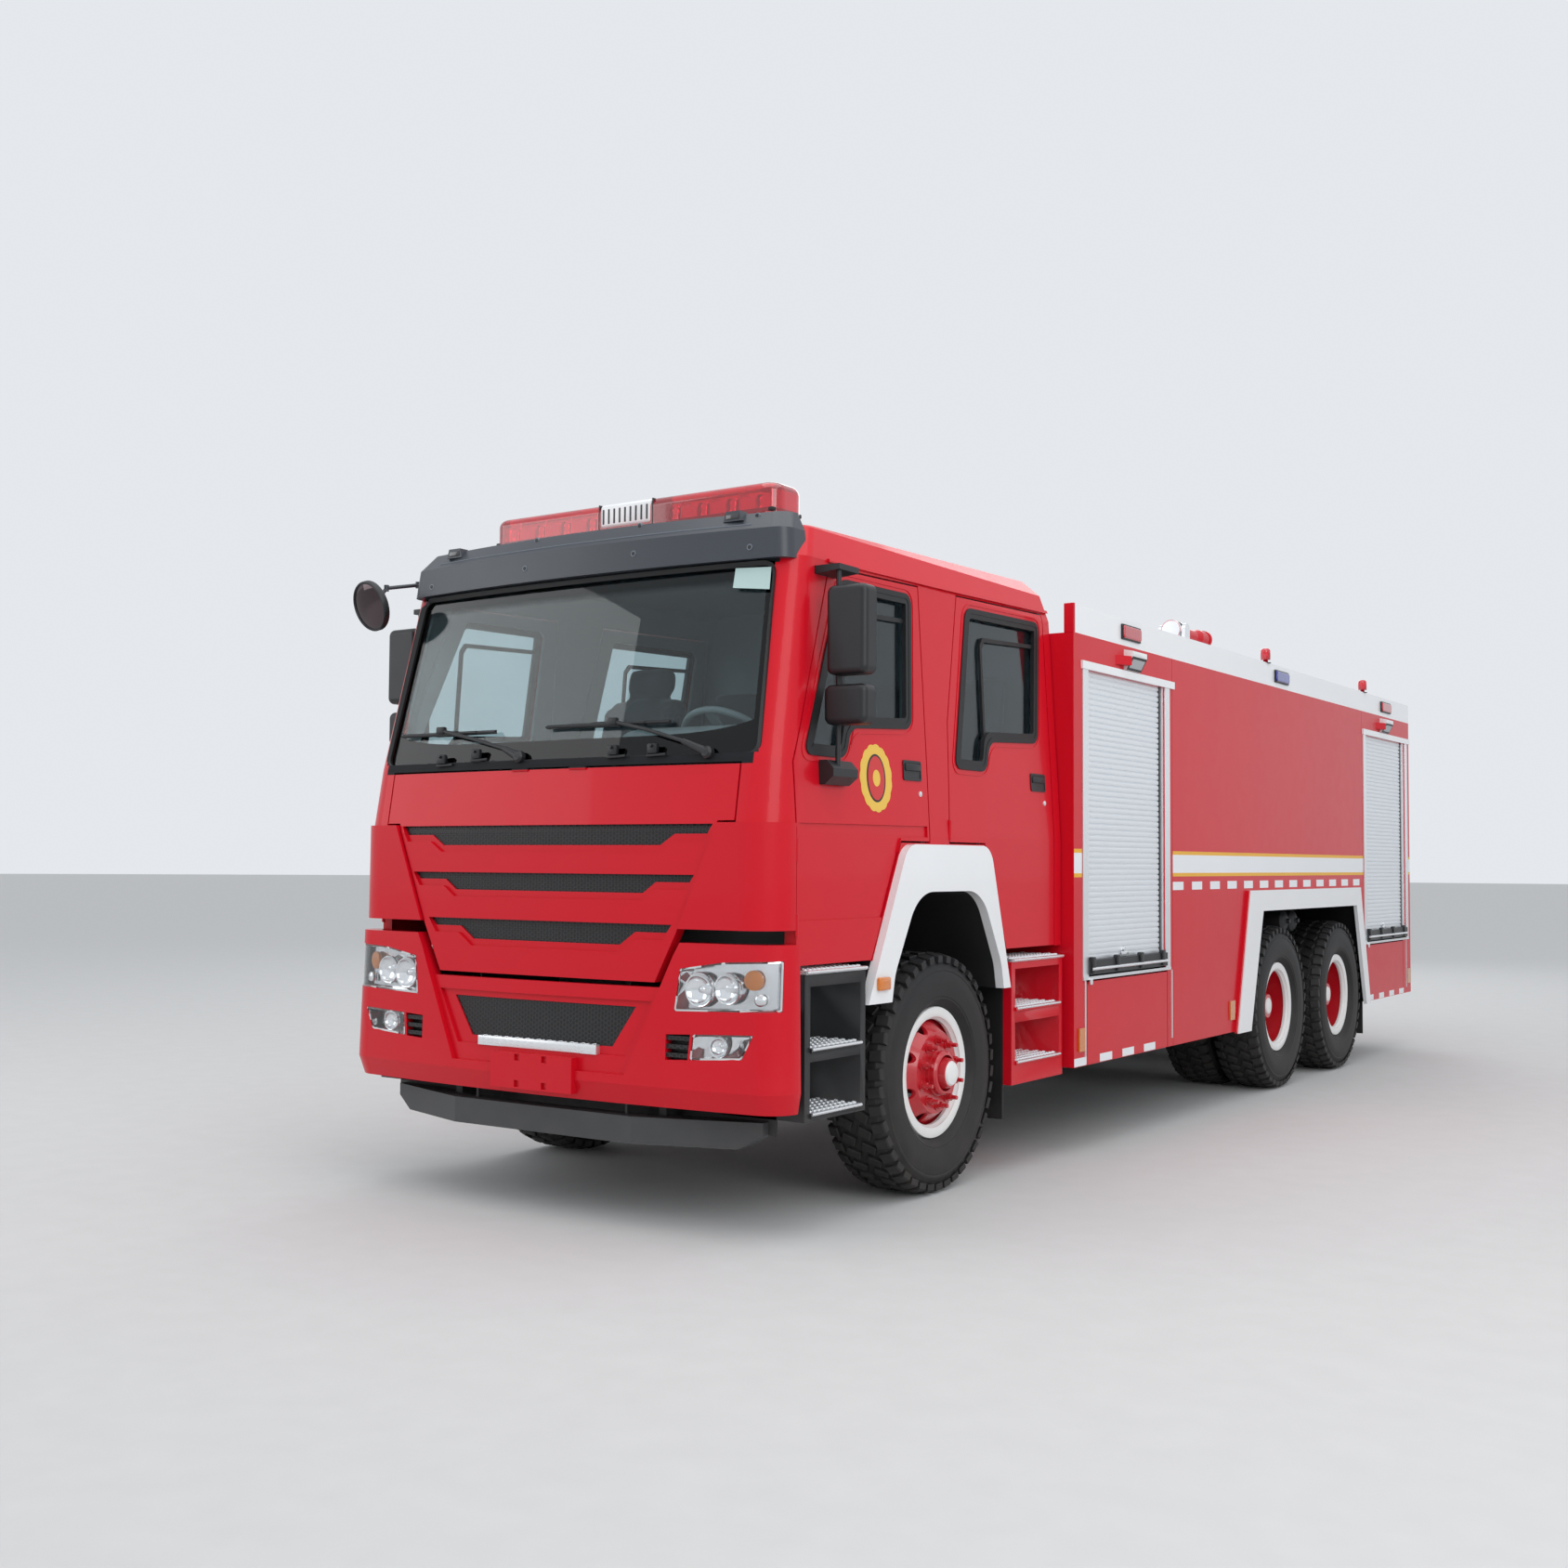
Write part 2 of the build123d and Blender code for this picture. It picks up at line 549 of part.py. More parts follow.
def cab_door(outline, window, hinge_places, recess=None):
    """A door's leaf with its hinge barrels, and its window pane."""
    leaf = common(cab_walls, outline_prism(outline, SIDE, -SEAM_GAP / 2))
    leaf = carve(leaf, arch_plug, rounded_window(window))
    if recess:
        leaf = carve(leaf, common(cab_skin(0.0, DOOR_RECESS_DEPTH), outline_prism(recess, SIDE)))
    inside = CAB_WALL / 2
    pane = common(cab_skin(inside, GLASS_WALL), rounded_window(window))
    return fuse([leaf] + hinge_barrels(outline, hinge_places, HINGE_RADIUS)), pane


doors = {
    "door_front": cab_door(FRONT_DOOR, FRONT_WINDOW, FRONT_DOOR_HINGES, DOOR_RECESS),
    "door_rear": cab_door(REAR_DOOR, REAR_WINDOW, REAR_DOOR_HINGES),
}
for name, (leaf, pane) in doors.items():
    for side, turn in (("left", lambda shape: shape), ("right", other_side)):
        save(f"{name}_{side}", turn(leaf))
        save(f"{name}_glass_{side}", turn(pane))


NOSE_SPAN = (-1500, -1250)
PANEL_OUTLINE = [(PANEL_FOOT_HALF, PANEL_BOTTOM), (PANEL_WAIST_HALF, CORNER_BOTTOM - 15),
                 (PANEL_MASK_HALF, PANEL_LID_BOTTOM), (PANEL_LID_HALF, PANEL_LID_BOTTOM),
                 (PANEL_LID_HALF, PANEL_TOP)]
PANEL_OUTLINE += [(-x, z) for x, z in reversed(PANEL_OUTLINE)]
panel_zone = front_prism(PANEL_OUTLINE, NOSE_SPAN)
panel_gap = grown_front_prism(PANEL_OUTLINE, NOSE_SPAN, SEAM_GAP)
screen_zone = front_prism(WINDSCREEN, (-1500, -900))


def slot_prism(end_top, end_bottom, middle_top, middle_bottom, low, end_low, high, lip=0.0):
    """A slot with thin ends and a deeper middle. A lip carries its lower edge further down."""
    half = [(middle_bottom, low - lip), (middle_top, end_low - lip), (end_bottom - lip / 3, end_low - lip),
            (end_top, high)]
    return front_prism(half + [(-x, z) for x, z in reversed(half)], (-1500, -1200))


def radiator_panel():
    """Red mask of sculpted bars: each slot has a recessed lip below it and a mesh behind it."""
    lip_skin = cab_skin(0.0, PANEL_LIP_DEPTH)
    lips = [common(lip_skin, slot_prism(*slot, PANEL_LIP)) for slot in PANEL_SLOTS]
    panel = carve(common(cab_walls, panel_zone), *lips)
    slots = [slot_prism(*slot) for slot in PANEL_SLOTS]
    mesh_skin = cab_skin(MESH_INSET, MESH_WALL)
    mesh = [common(mesh_skin, slot) for slot in slots]
    barrel = rod(HINGE_RADIUS, (PANEL_HINGE_X, *PANEL_HINGE), (PANEL_HINGE_X + HINGE_LENGTH, *PANEL_HINGE))
    return fuse([carve(panel, *slots)] + both_sides(barrel)), mesh


panel, mesh = radiator_panel()
save("front_panel", panel)
save("grille_mesh", mesh)


GUTTER_PROUD = 12.0
GUTTER_WALL = 15.0
GUTTER_LINE = [(-900.0, 2753.0), (227.0, 2776.0), (CAB_REAR, 2804.0)]
FIREWALL = (-1290.0, -1270.0)


def corner_plates():
    """Raised plates on the cab's front corners, beside the mask, down to the gap over the bumper."""
    sections = [(z, CAB_HALF_WIDTH + 3, front - CORNER_PROUD, bow, corner)
                for z, half, front, bow, corner in CAB_SECTIONS[:2]]
    top = (CORNER_TOP, *sections[1][1:])
    proud = Solid.make_loft([cab_section(*section) for section in (sections[0], top)], ruled=True)
    zone = block((-FAR, FAR), (-FAR, FRONT_DOOR_EDGE - SEAM_GAP / 2), (CORNER_BOTTOM, CORNER_TOP))
    return carve(common(proud, zone), cab_outer, panel_gap)


def gutters():
    """A thin rain gutter over the doors on each side."""
    outline = GUTTER_LINE + [(y, z + GUTTER_WALL) for y, z in reversed(GUTTER_LINE)]
    strip = carve(cab_solid(-GUTTER_PROUD), cab_outer)
    return both_sides(common(strip, side_prism(outline, (CAB_HALF_WIDTH - 200, FAR))))


def cab_shell():
    """The cab's body: walls with the openings of doors, mask and windscreen, its floor and firewall."""
    cuts = [panel_gap, screen_zone, block((-FAR, FAR), (-FAR, FAR), (0, CAB_BOTTOM)),
            block((-FAR, FAR), (-FAR, FRONT_DOOR_EDGE), (0, CORNER_BOTTOM))]
    for outline in (FRONT_DOOR, REAR_DOOR):
        cuts += both_sides(outline_prism(outline, SIDE, SEAM_GAP / 2))
    cuts += both_sides(arch_prism(SIDE), *hinge_barrels(REAR_DOOR, REAR_DOOR_HINGES, HINGE_RADIUS + FIT_GAP))
    shell = carve(cab_walls, *cuts)
    inside = CAB_HALF_WIDTH - CAB_WALL - SEAM_GAP
    nose = carve(block((-FAR, FAR), (NOSE_SPAN[0], NOSE_SPAN[1] + 100), (0, 2000)),
                 cab_solid(CAB_WALL + SEAM_GAP))
    floor = block((-inside, inside), (FIREWALL[0], CAB_REAR - CAB_WALL + 5),
                  (CAB_FLOOR_Z, CAB_FLOOR_Z + CAB_FLOOR_WALL))
    floor = carve(floor, *both_sides(arch_prism((FLARE_INSIDE, FAR))))
    firewall = block((-inside, inside), FIREWALL, (CAB_FLOOR_Z, PANEL_TOP))
    inner = carve(fuse([floor, firewall]), nose)
    return fuse([shell, inner, *solids_of(corner_plates()), *solids_of(gutters())])


save("cab_shell", cab_shell())
save("windscreen", common(cab_skin(SCREEN_INSET, GLASS_WALL), screen_zone))


def flare():
    """White arch plate on the cab's side with a thin liner over the wheel."""
    plate = arch_prism((CAB_HALF_WIDTH - CAB_WALL, FLARE_OUTSIDE))
    plate = carve(plate, arch_opening((0, FAR)))
    outer = arch_opening((FLARE_INSIDE, CAB_HALF_WIDTH - CAB_WALL), FLARE_LINER)
    liner = carve(outer, arch_opening((0, FAR)))
    low = block((0, FAR), (-FAR, FAR), (0, ARCH_FOOT + 1))
    return fuse([plate, carve(liner, low)])


save("front_arches", both_sides(flare()))

# Sun visor over the windscreen, seated on the cab's front.
VISOR_TOP = 2950.0
VISOR_SECTIONS = [
    # z, half_width, front, bow, corner
    (2744.0, 1085.0, -1240.0, 70.0, 70.0),
    (2872.0, 1072.0, -1234.0, 76.0, 72.0),
    (VISOR_TOP, 1035.0, -1175.0, 80.0, 75.0),
]
MARKER_X = (760.0, 855.0)


KNUCKLE_PROUD = 3.0
KNUCKLE_HALF = 15.0


def bent_tube(radius, points):
    """A round tube through points, with an upright knuckle at each bend."""
    runs = [rod(radius, start, end) for start, end in zip(points, points[1:])]
    knuckles = [rod(radius + KNUCKLE_PROUD, (x, y, z - KNUCKLE_HALF), (x, y, z + KNUCKLE_HALF))
                for x, y, z in points[1:-1]]
    return fuse(runs + knuckles)


def sun_visor():
    """The visor with its two marker lamps."""
    body = Solid.make_loft([cab_section(*section) for section in VISOR_SECTIONS], ruled=True)
    front = block((-1200, 1200), (-1400, -1010), (2600, 3000))
    over = carve(common(body, front), cab_outer)
    shade = max(over.solids(), key=lambda solid: solid.volume)
    marker = front_prism([(MARKER_X[0], 2915), (MARKER_X[1], 2915), (MARKER_X[1] - 12, VISOR_TOP + 8),
                          (MARKER_X[0] + 12, VISOR_TOP + 8)], (-1158, -1105))
    return fuse([shade] + both_sides(marker))


CONVEX_MIRROR_RADIUS = 120.0


def convex_mirror():
    """Round mirror on a bent arm from the visor's right end."""
    root = (-1077.4, -1060, 2830)
    centre = (-1235, -1262, 2712)
    arm = bent_tube(9, [root, (-1150, -1060, 2830), (-1212, -1205, 2800), centre])
    facing = Plane(origin=(centre[0], aft(centre[1]), centre[2]), z_dir=(-0.15, -1, -0.35))
    return fuse([arm, Solid.make_cylinder(CONVEX_MIRROR_RADIUS, 26, facing)])


save("sun_visor", sun_visor(), convex_mirror())

# Light bar across the roof.
LIGHT_BAR_HALF = 830.0
LIGHT_BAR_MIDDLE = 157.0
LIGHT_BAR_AFT = (-880.0, -640.0)
LIGHT_BAR_Z = (3010.0, 3145.0)


def light_bar():
    """Two rounded lens pods and the middle part between them, on two feet."""
    low, high = LIGHT_BAR_Z
    front, rear = LIGHT_BAR_AFT
    hood = block((-LIGHT_BAR_HALF, LIGHT_BAR_HALF), (front, rear), (low, high))
    hood = fillet(hood.edges().filter_by(Axis.Z), 75)
    hood = fillet(hood.edges().group_by(Axis.Z)[-1], 42)
    middle_zone = block((-LIGHT_BAR_MIDDLE, LIGHT_BAR_MIDDLE), (front - 1, rear + 1), (low - 1, high + 1))
    foot = carve(block((560, 640), (front + 40, rear - 40), (2800, low)), cab_outer)
    return [carve(hood, middle_zone), common(hood, middle_zone)] + both_sides(foot)


save("light_bar", light_bar())

# Inside the cab.
DASH = [(-1270.0, 1600.0), (-1270.0, 1920.0), (-1080.0, 1960.0), (-900.0, 1900.0), (-880.0, 1780.0),
        (-1000.0, 1600.0)]
WHEEL_RIM_RADIUS = 225.0


def dashboard():
    dash = common(side_prism(DASH, (-1100, 1100)), cab_solid(CAB_WALL + SEAM_GAP))
    column = rod(35, (520, -960, 1780), (520, -760, 2010))
    tilt = Plane(origin=(520, aft(-760), 2010), z_dir=(0, 200, 230))
    rim = tilt * Torus(WHEEL_RIM_RADIUS, 16)
    spokes = tilt * Box(2 * WHEEL_RIM_RADIUS, 50, 14)
    return fuse([dash, column, rim, spokes])


save("dashboard", dashboard())


def seat(x_range, front):
    floor = CAB_FLOOR_Z + CAB_FLOOR_WALL
    cushion = [(front, floor), (front, floor + 380), (front + 480, floor + 340), (front + 580, floor + 1080),
               (front + 700, floor + 1080), (front + 600, floor)]
    return side_prism(cushion, x_range)


save("cab_seats", both_sides(seat((260, 780), -650)), seat((-1000, 1000), 480))

# Cab steps: black box ahead of the front wheel, red stair box behind it.
STEP_INSIDE = 800.0
STEP_OUTSIDE = 1205.0
BLACK_STEP = [(-1190.0, 465.0), (-730.0, 465.0), (-730.0, 1050.0), (-1190.0, 1050.0)]
RED_STEP = [(625.0, 425.0), (1200.0, 425.0), (1200.0, 1020.0), (625.0, 1020.0)]
BLACK_WELLS = [(480.0, 700.0), (737.0, 1000.0)]
RED_WELLS = [(520.0, 725.0), (780.0, 985.0)]
WELL_DEPTH = 255.0
WELL_SIDE = 40.0
TREAD_WALL = 17.0
TREAD_PROUD = 8.0
TOP_TREAD_WALL = 12.0


def step_box(outline, wells):
    """A step box with open wells, a tread plate in each and one on top, and its hanger."""
    box = side_prism(outline, (STEP_INSIDE, STEP_OUTSIDE))
    front, rear, top = outline[0][0], outline[1][0], outline[2][1]
    cuts = [block((STEP_OUTSIDE - WELL_DEPTH, STEP_OUTSIDE + 1), (front + WELL_SIDE, rear - WELL_SIDE), well)
            for well in wells]
    tread_span = (STEP_OUTSIDE - WELL_DEPTH, STEP_OUTSIDE + TREAD_PROUD)
    treads = [block(tread_span, (front + WELL_SIDE, rear - WELL_SIDE), (low, low + TREAD_WALL))
              for low, high in wells]
    treads.append(block(tread_span, (front, rear), (top, top + TOP_TREAD_WALL)))
    hanger = block((RAIL_OUTSIDE, STEP_INSIDE), (front + 150, front + 230), (FRAME_TOP - 120, FRAME_TOP - 60))
    return [carve(box, *cuts), hanger] + treads


save("cab_steps", both_sides(*step_box(BLACK_STEP, BLACK_WELLS), *step_box(RED_STEP, RED_WELLS)))

# Front bumper: a shell through three plan sections, with pockets for lamps and a middle opening.
BUMPER_WALL = 55.0
BUMPER_REAR = -1235.0
BUMPER_SECTIONS = [
    # z, half_width, front, bow, corner
    (505.0, 1205.0, -1425.0, 60.0, 130.0),
    (588.0, 1219.0, -1455.0, 60.0, 140.0),
    (1170.0, 1210.0, -1440.0, 60.0, 140.0),
]
HEADLAMP = [(728.0, 897.0), (1190.0, 910.0), (1190.0, 1108.0), (953.0, 1098.0), (750.0, 1067.0)]
FOG_LAMP = [(808.0, 706.0), (1045.0, 720.0), (1095.0, 818.0), (818.0, 808.0)]
FOG_LOUVRE = [(690.0, 700.0), (796.0, 705.0), (806.0, 807.0), (690.0, 802.0)]
FOG_SLATS = ((712.0, 730.0), (746.0, 764.0), (780.0, 798.0))
OPENING_LOW = 732.0
BUMPER_OPENING = [(-399.0, OPENING_LOW), (399.0, OPENING_LOW), (514.0, 901.0), (-514.0, 901.0)]
OPENING_FRAME = [(-475.0, 698.0), (475.0, 698.0), (600.0, 928.0), (-600.0, 928.0)]
BUMPER_DIP = [(-640.0, 985.0), (640.0, 985.0), (745.0, 1171.0), (-745.0, 1171.0)]
BUMPER_MIDDLE = [(-485.0, 625.0), (485.0, 625.0), (740.0, 1172.0), (-740.0, 1172.0)]
MIDDLE_DEPTH = 20.0
FRAME_DEPTH = 34.0
BUMPER_MESH = (40.0, 46.0)
PLATE_HALF = 230.0
PLATE_Z = (529.0, 678.0)
PLATE_HOLES = [(x, z) for x in (-77.0, 77.0) for z in (550.0, 661.0)]
PLATE_HOLE_HALF = 14.0
STEP_PLATE_HALF = 335.0
STEP_PLATE_AFT = (-1437.0, -1412.0)
STEP_PLATE_Z = (OPENING_LOW - 35.0, OPENING_LOW + 4.0)


def bumper_solid(inset):
    return Solid.make_loft([cab_section(*section, inset) for section in BUMPER_SECTIONS], ruled=True)


bumper_skin = carve(bumper_solid(0), bumper_solid(BUMPER_WALL))
bumper_zone = block((-FAR, FAR), (-FAR, BUMPER_REAR), (0, FAR))
lamp_span = (-1500, -1000)


def bumper_layer(near, far):
    """The layer of the bumper between two depths below its face."""
    return carve(bumper_solid(near), bumper_solid(far))


def front_bumper():
    """Bumper shell with its recessed middle, plate holder, lamp pockets and step plate."""
    shell = common(bumper_skin, bumper_zone)
    cuts = [front_prism(BUMPER_DIP, lamp_span), front_prism(BUMPER_OPENING, lamp_span),
            common(bumper_layer(0.0, MIDDLE_DEPTH), front_prism(BUMPER_MIDDLE, lamp_span)),
            common(bumper_layer(0.0, FRAME_DEPTH), front_prism(OPENING_FRAME, lamp_span))]
    cuts += both_sides(*[front_prism(outline, lamp_span) for outline in (HEADLAMP, FOG_LAMP, FOG_LOUVRE)])
    shell = carve(shell, *cuts)
    holder = block((-PLATE_HALF, PLATE_HALF), (-FRONT_OVERHANG, -FRONT_OVERHANG + BUMPER_WALL), PLATE_Z)
    holes = [block((x - PLATE_HOLE_HALF, x + PLATE_HOLE_HALF), (-FRONT_OVERHANG - 1, -FRONT_OVERHANG + 12),
                   (z - PLATE_HOLE_HALF, z + PLATE_HOLE_HALF)) for x, z in PLATE_HOLES]
    shell = carve(fuse([shell, holder]), *holes)
    tread = carve(block((-STEP_PLATE_HALF, STEP_PLATE_HALF), STEP_PLATE_AFT, STEP_PLATE_Z), shell)
    beam = block((-600, 600), (-1400, FRAME_FRONT), (FRAME_BOTTOM + 20, FRAME_BOTTOM + 220))
    return [shell, carve(beam, bumper_skin), tread]


def bumper_trim():
    """Black mesh in the middle opening, and a louvre of three slats beside each fog lamp."""
    mesh_layer = common(bumper_layer(*BUMPER_MESH), bumper_zone)
    mesh = common(mesh_layer, front_prism(BUMPER_OPENING, lamp_span))
    back_plate = common(mesh_layer, front_prism(FOG_LOUVRE, lamp_span))
    slat_layer = common(bumper_layer(5.0, BUMPER_MESH[0] + 1), front_prism(FOG_LOUVRE, lamp_span))
    slats = [common(slat_layer, block((0, FAR), lamp_span, slat)) for slat in FOG_SLATS]
    return [mesh] + both_sides(fuse([back_plate] + slats))


save("front_bumper", front_bumper())
save("bumper_trim", bumper_trim())


def lamps():
    front_half = common(carve(bumper_solid(LAMP_INSET), bumper_solid(BUMPER_WALL)), bumper_zone)
    pieces = [common(front_half, front_prism(outline, lamp_span)) for outline in (HEADLAMP, FOG_LAMP)]
    return both_sides(*pieces)


save("headlamps", lamps())

UNDERRUN_HALF = 1034.0
UNDERRUN_Z = (344.0, 454.0)


def underrun_bar():
    low, high = UNDERRUN_Z
    nose, tail = -1405.0, -1150.0
    plan = [(-UNDERRUN_HALF, tail), (-UNDERRUN_HALF, tail - 80), (-500, nose), (500, nose),
            (UNDERRUN_HALF, tail - 80), (UNDERRUN_HALF, tail), (480, nose + 90), (-480, nose + 90)]
    wire = Wire.make_polygon([Vector(x, aft(y), low) for x, y in plan])
    bar = Solid.extrude(Face(wire), Vector(0, 0, high - low))
    bevel = front_prism([(UNDERRUN_HALF - 105, low - 1), (UNDERRUN_HALF + 1, low - 1), (UNDERRUN_HALF + 1, low + 58)],
                        (nose - 50, tail + 50))
    bar = carve(bar, *both_sides(bevel))
    hanger = block((RAIL_OUTSIDE - 12, RAIL_OUTSIDE), (nose + 60, -1200), (low + 20, FRAME_BOTTOM))
    return fuse([bar] + both_sides(hanger))


save("underrun_bar", underrun_bar())

# Mud flaps behind the wheels.
MUDFLAP_WALL = 10.0
REAR_FLAP_AFT = REAR_ARCH_CUT[-1][0] + 15
save("mudflaps", both_sides(
    block((840, 1160), (RED_STEP[0][0] - MUDFLAP_WALL, RED_STEP[0][0]), (260, 900)),
    block((600, 1215), (REAR_FLAP_AFT, REAR_FLAP_AFT + MUDFLAP_WALL), (205, BODY_BOTTOM)),
))

# Equipment body: side profile with the rear wheel arch, open over the frame.
BODY_FLOOR = FRAME_TOP
REAR_SHUTTER_HALF = 620.0
REAR_SHUTTER_BOTTOM = 1080.0
PANEL_JOINTS = (SHUTTERS[0][1] + 117.0, SHUTTERS[1][0] - 97.0)
JOINT_HALF = 2.0
JOINT_DEPTH = 3.0


def body():
    """The red equipment body with its openings for shutters and flaps and the joints of its side panels."""
    front, rear = BODY_FRONT, BODY_REAR
    skirt = [(front, BODY_BOTTOM)] + REAR_ARCH_CUT + [(rear, BODY_BOTTOM), (rear, BODY_TOP), (front, BODY_TOP)]
    whole = side_prism(skirt, (-BODY_HALF, BODY_HALF))
    tunnel = block((-LOCKER_INSIDE, LOCKER_INSIDE), (front - 1, rear + 1), (0, BODY_FLOOR))
    cuts = [tunnel]
    for place in PANEL_JOINTS:
        cuts += both_sides(block((BODY_HALF - JOINT_DEPTH, FAR), (place - JOINT_HALF, place + JOINT_HALF),
                                 (BODY_BOTTOM - 1, BODY_TOP + 1)))
    for shutter_front, shutter_rear, flap_front, flap_rear in SHUTTERS:
        inside = BODY_HALF - SHUTTER_RECESS
        cuts += both_sides(
            block((inside, FAR), (shutter_front, shutter_rear), (SHUTTER_BOTTOM, SHUTTER_TOP)),
            block((inside, FAR), (flap_front, flap_rear), (0, SHUTTER_BOTTOM - SEAM_GAP)))
    cuts.append(block((-REAR_SHUTTER_HALF, REAR_SHUTTER_HALF), (rear - SHUTTER_RECESS, rear + 1),
                      (REAR_SHUTTER_BOTTOM, SHUTTER_TOP)))
    return carve(whole, *cuts)


save("equipment_body", body())


def coaming():
    outer = block((-BODY_HALF, BODY_HALF), (BODY_FRONT, BODY_REAR), (BODY_TOP, COAMING_TOP))
    inner = block((-BODY_HALF + COAMING_WALL, BODY_HALF - COAMING_WALL),
                  (BODY_FRONT - 1, BODY_REAR - COAMING_WALL), (BODY_TOP - 1, COAMING_TOP + 1))
    return carve(outer, inner)


save("roof_coaming", coaming())


def shutters():
    outside = BODY_HALF - SHUTTER_INSET
    sheets = []
    for front, rear, flap_front, flap_rear in SHUTTERS:
        sheets.append(block((outside - SHUTTER_WALL, outside), (front, rear), (SHUTTER_BOTTOM + 20, SHUTTER_TOP)))
    back = BODY_REAR - SHUTTER_INSET
    rear_sheet = block((-REAR_SHUTTER_HALF, REAR_SHUTTER_HALF), (back - SHUTTER_WALL, back),
                       (REAR_SHUTTER_BOTTOM, SHUTTER_TOP))
    return both_sides(*sheets) + [rear_sheet]


save("roller_shutters", shutters())
HEAD_RAIL = 42.0
HEAD_RAIL_PAST = (83.0, 132.0)
JAMB_WIDTH = 70.0
JAMB_PROUD = 5.0
SILL_Z = (SHUTTER_BOTTOM - 6.0, SHUTTER_BOTTOM + 10.0)
HANDLE_BAR_Z = (SHUTTER_BOTTOM + 20.0, SHUTTER_BOTTOM + 95.0)


def shutter_rails():
    """Head rail, side jambs, sill and the black handle bar of each side shutter."""
    outside = BODY_HALF
    inside = outside - SHUTTER_INSET
    rails = []
    for front, rear, flap_front, flap_rear in SHUTTERS:
        rails.append(block((outside, outside + 12), (front - HEAD_RAIL_PAST[0], rear + HEAD_RAIL_PAST[1]),
                           (SHUTTER_TOP, SHUTTER_TOP + HEAD_RAIL)))
        rails.append(block((inside, inside + 35), (front, rear), HANDLE_BAR_Z))
        rails.append(block((outside, outside + JAMB_PROUD + 3), (front - JAMB_WIDTH, rear + JAMB_WIDTH), SILL_Z))
        for edge in (front - JAMB_WIDTH, rear):
            rails.append(block((outside, outside + JAMB_PROUD), (edge, edge + JAMB_WIDTH),
                               (SILL_Z[1], SHUTTER_TOP)))
    return both_sides(*rails)


save("shutter_rails", shutter_rails())

# Fold-down flaps under the shutters, hinged along their lower outer edge.
flap_span = (BODY_HALF - FLAP_WALL, BODY_HALF)
for row, (front, rear, flap_front, flap_rear) in zip(("front", "rear"), SHUTTERS):
    leaf = block(flap_span, (flap_front + SEAM_GAP, flap_rear - SEAM_GAP),
                 (BODY_BOTTOM, SHUTTER_BOTTOM - 2 * SEAM_GAP))
    hinge = (BODY_HALF - FLAP_HINGE_INSET, BODY_BOTTOM + FLAP_HINGE_INSET)
    pin = rod(FLAP_PIN_RADIUS, (hinge[0], flap_front + FIT_GAP, hinge[1]), (hinge[0], flap_rear - FIT_GAP, hinge[1]))
    flap = fuse([leaf, pin])
    save(f"flap_{row}_left", flap)
    save(f"flap_{row}_right", other_side(flap))


def rear_arch():
    plate = side_prism(REAR_ARCH_OUTER, (BODY_HALF, BODY_HALF + ARCH_FRAME_PROUD))
    opening = REAR_ARCH_FEET[:1] + REAR_ARCH_TOP + REAR_ARCH_FEET[1:]
    low = [(y + (-5 if y < 5000 else 5), z - 60) for y, z in REAR_ARCH_FEET]
    return carve(plate, side_prism([low[0]] + opening + [low[1]], (0, FAR)))


save("rear_arches", both_sides(rear_arch()))

# Lamps on the body and behind.
SIDE_LAMPS = [
    # front, rear, bottom, top
    (1869.0, 2113.0, 2740.0, 2810.0),
    (4462.0, 4728.0, 2740.0, 2810.0),
    (7080.0, 7345.0, 2740.0, 2810.0),
]
SIDE_LAMP_PROUD = 20.0
MARKERS = ((BODY_FRONT + 52.0, BODY_FRONT + 121.0), (WHEELBASE - 1056.0, WHEELBASE - 968.0),
           (BODY_REAR - 132.0, BODY_REAR - 28.0))
MARKER_Z = (530.0, 650.0)
MARKER_PROUD = 9.0
TOP_LAMP_PLACES = (4330.0, REAR_AXLE + 680.0)
SCENE_LAMP_PLACES = ((1900.0, 2100.0), (7050.0, 7250.0))
SCENE_LAMP_PROFILE = [(0.0, 2566.0), (14.0, 2566.0), (54.0, 2640.0), (54.0, 2668.0), (0.0, 2680.0)]
TAIL_LAMP = (930.0, 1180.0, 620.0, 760.0)


def side_lamp(front, rear, low, high):
    """A flat lamp with rounded corners on the coaming's side."""
    lens = block((BODY_HALF, BODY_HALF + SIDE_LAMP_PROUD), (front, rear), (low, high))
    lens = fillet(lens.edges().filter_by(Axis.X), 16)
    return fillet(lens.edges().group_by(Axis.X)[-1], 8)


def top_lamp(place):
    """A small round lamp standing on the coaming."""
    x = BODY_HALF - COAMING_WALL / 2
    dome = fillet(rod(32, (x, place, COAMING_TOP + 20), (x, place, COAMING_TOP + 98)).edges().group_by(Axis.Z)[-1], 20)
    return fuse([rod(16, (x, place, COAMING_TOP), (x, place, COAMING_TOP + 21)), *solids_of(dome)])


def body_lamps():
    """Side lamps, round lamps on the coaming, hooded scene lamps, side markers and tail lamps."""
    pieces = [side_lamp(*lamp) for lamp in SIDE_LAMPS]
    pieces += [top_lamp(place) for place in TOP_LAMP_PLACES]
    hood = [(BODY_HALF + x, z) for x, z in SCENE_LAMP_PROFILE]
    pieces += [front_prism(hood, span) for span in SCENE_LAMP_PLACES]
    pieces += [block((BODY_HALF, BODY_HALF + MARKER_PROUD), span, MARKER_Z) for span in MARKERS]
    left, right, low, high = TAIL_LAMP
    pieces.append(block((left, right), (BODY_REAR, BODY_REAR + 18), (low, high)))
    return both_sides(*pieces)


save("body_lamps", body_lamps())

BUMPER_BAR_Z = (470.0, 570.0)
save("rear_bumper", block((-LOCKER_INSIDE, LOCKER_INSIDE), (BODY_REAR - 160, BODY_REAR - 40), BUMPER_BAR_Z))

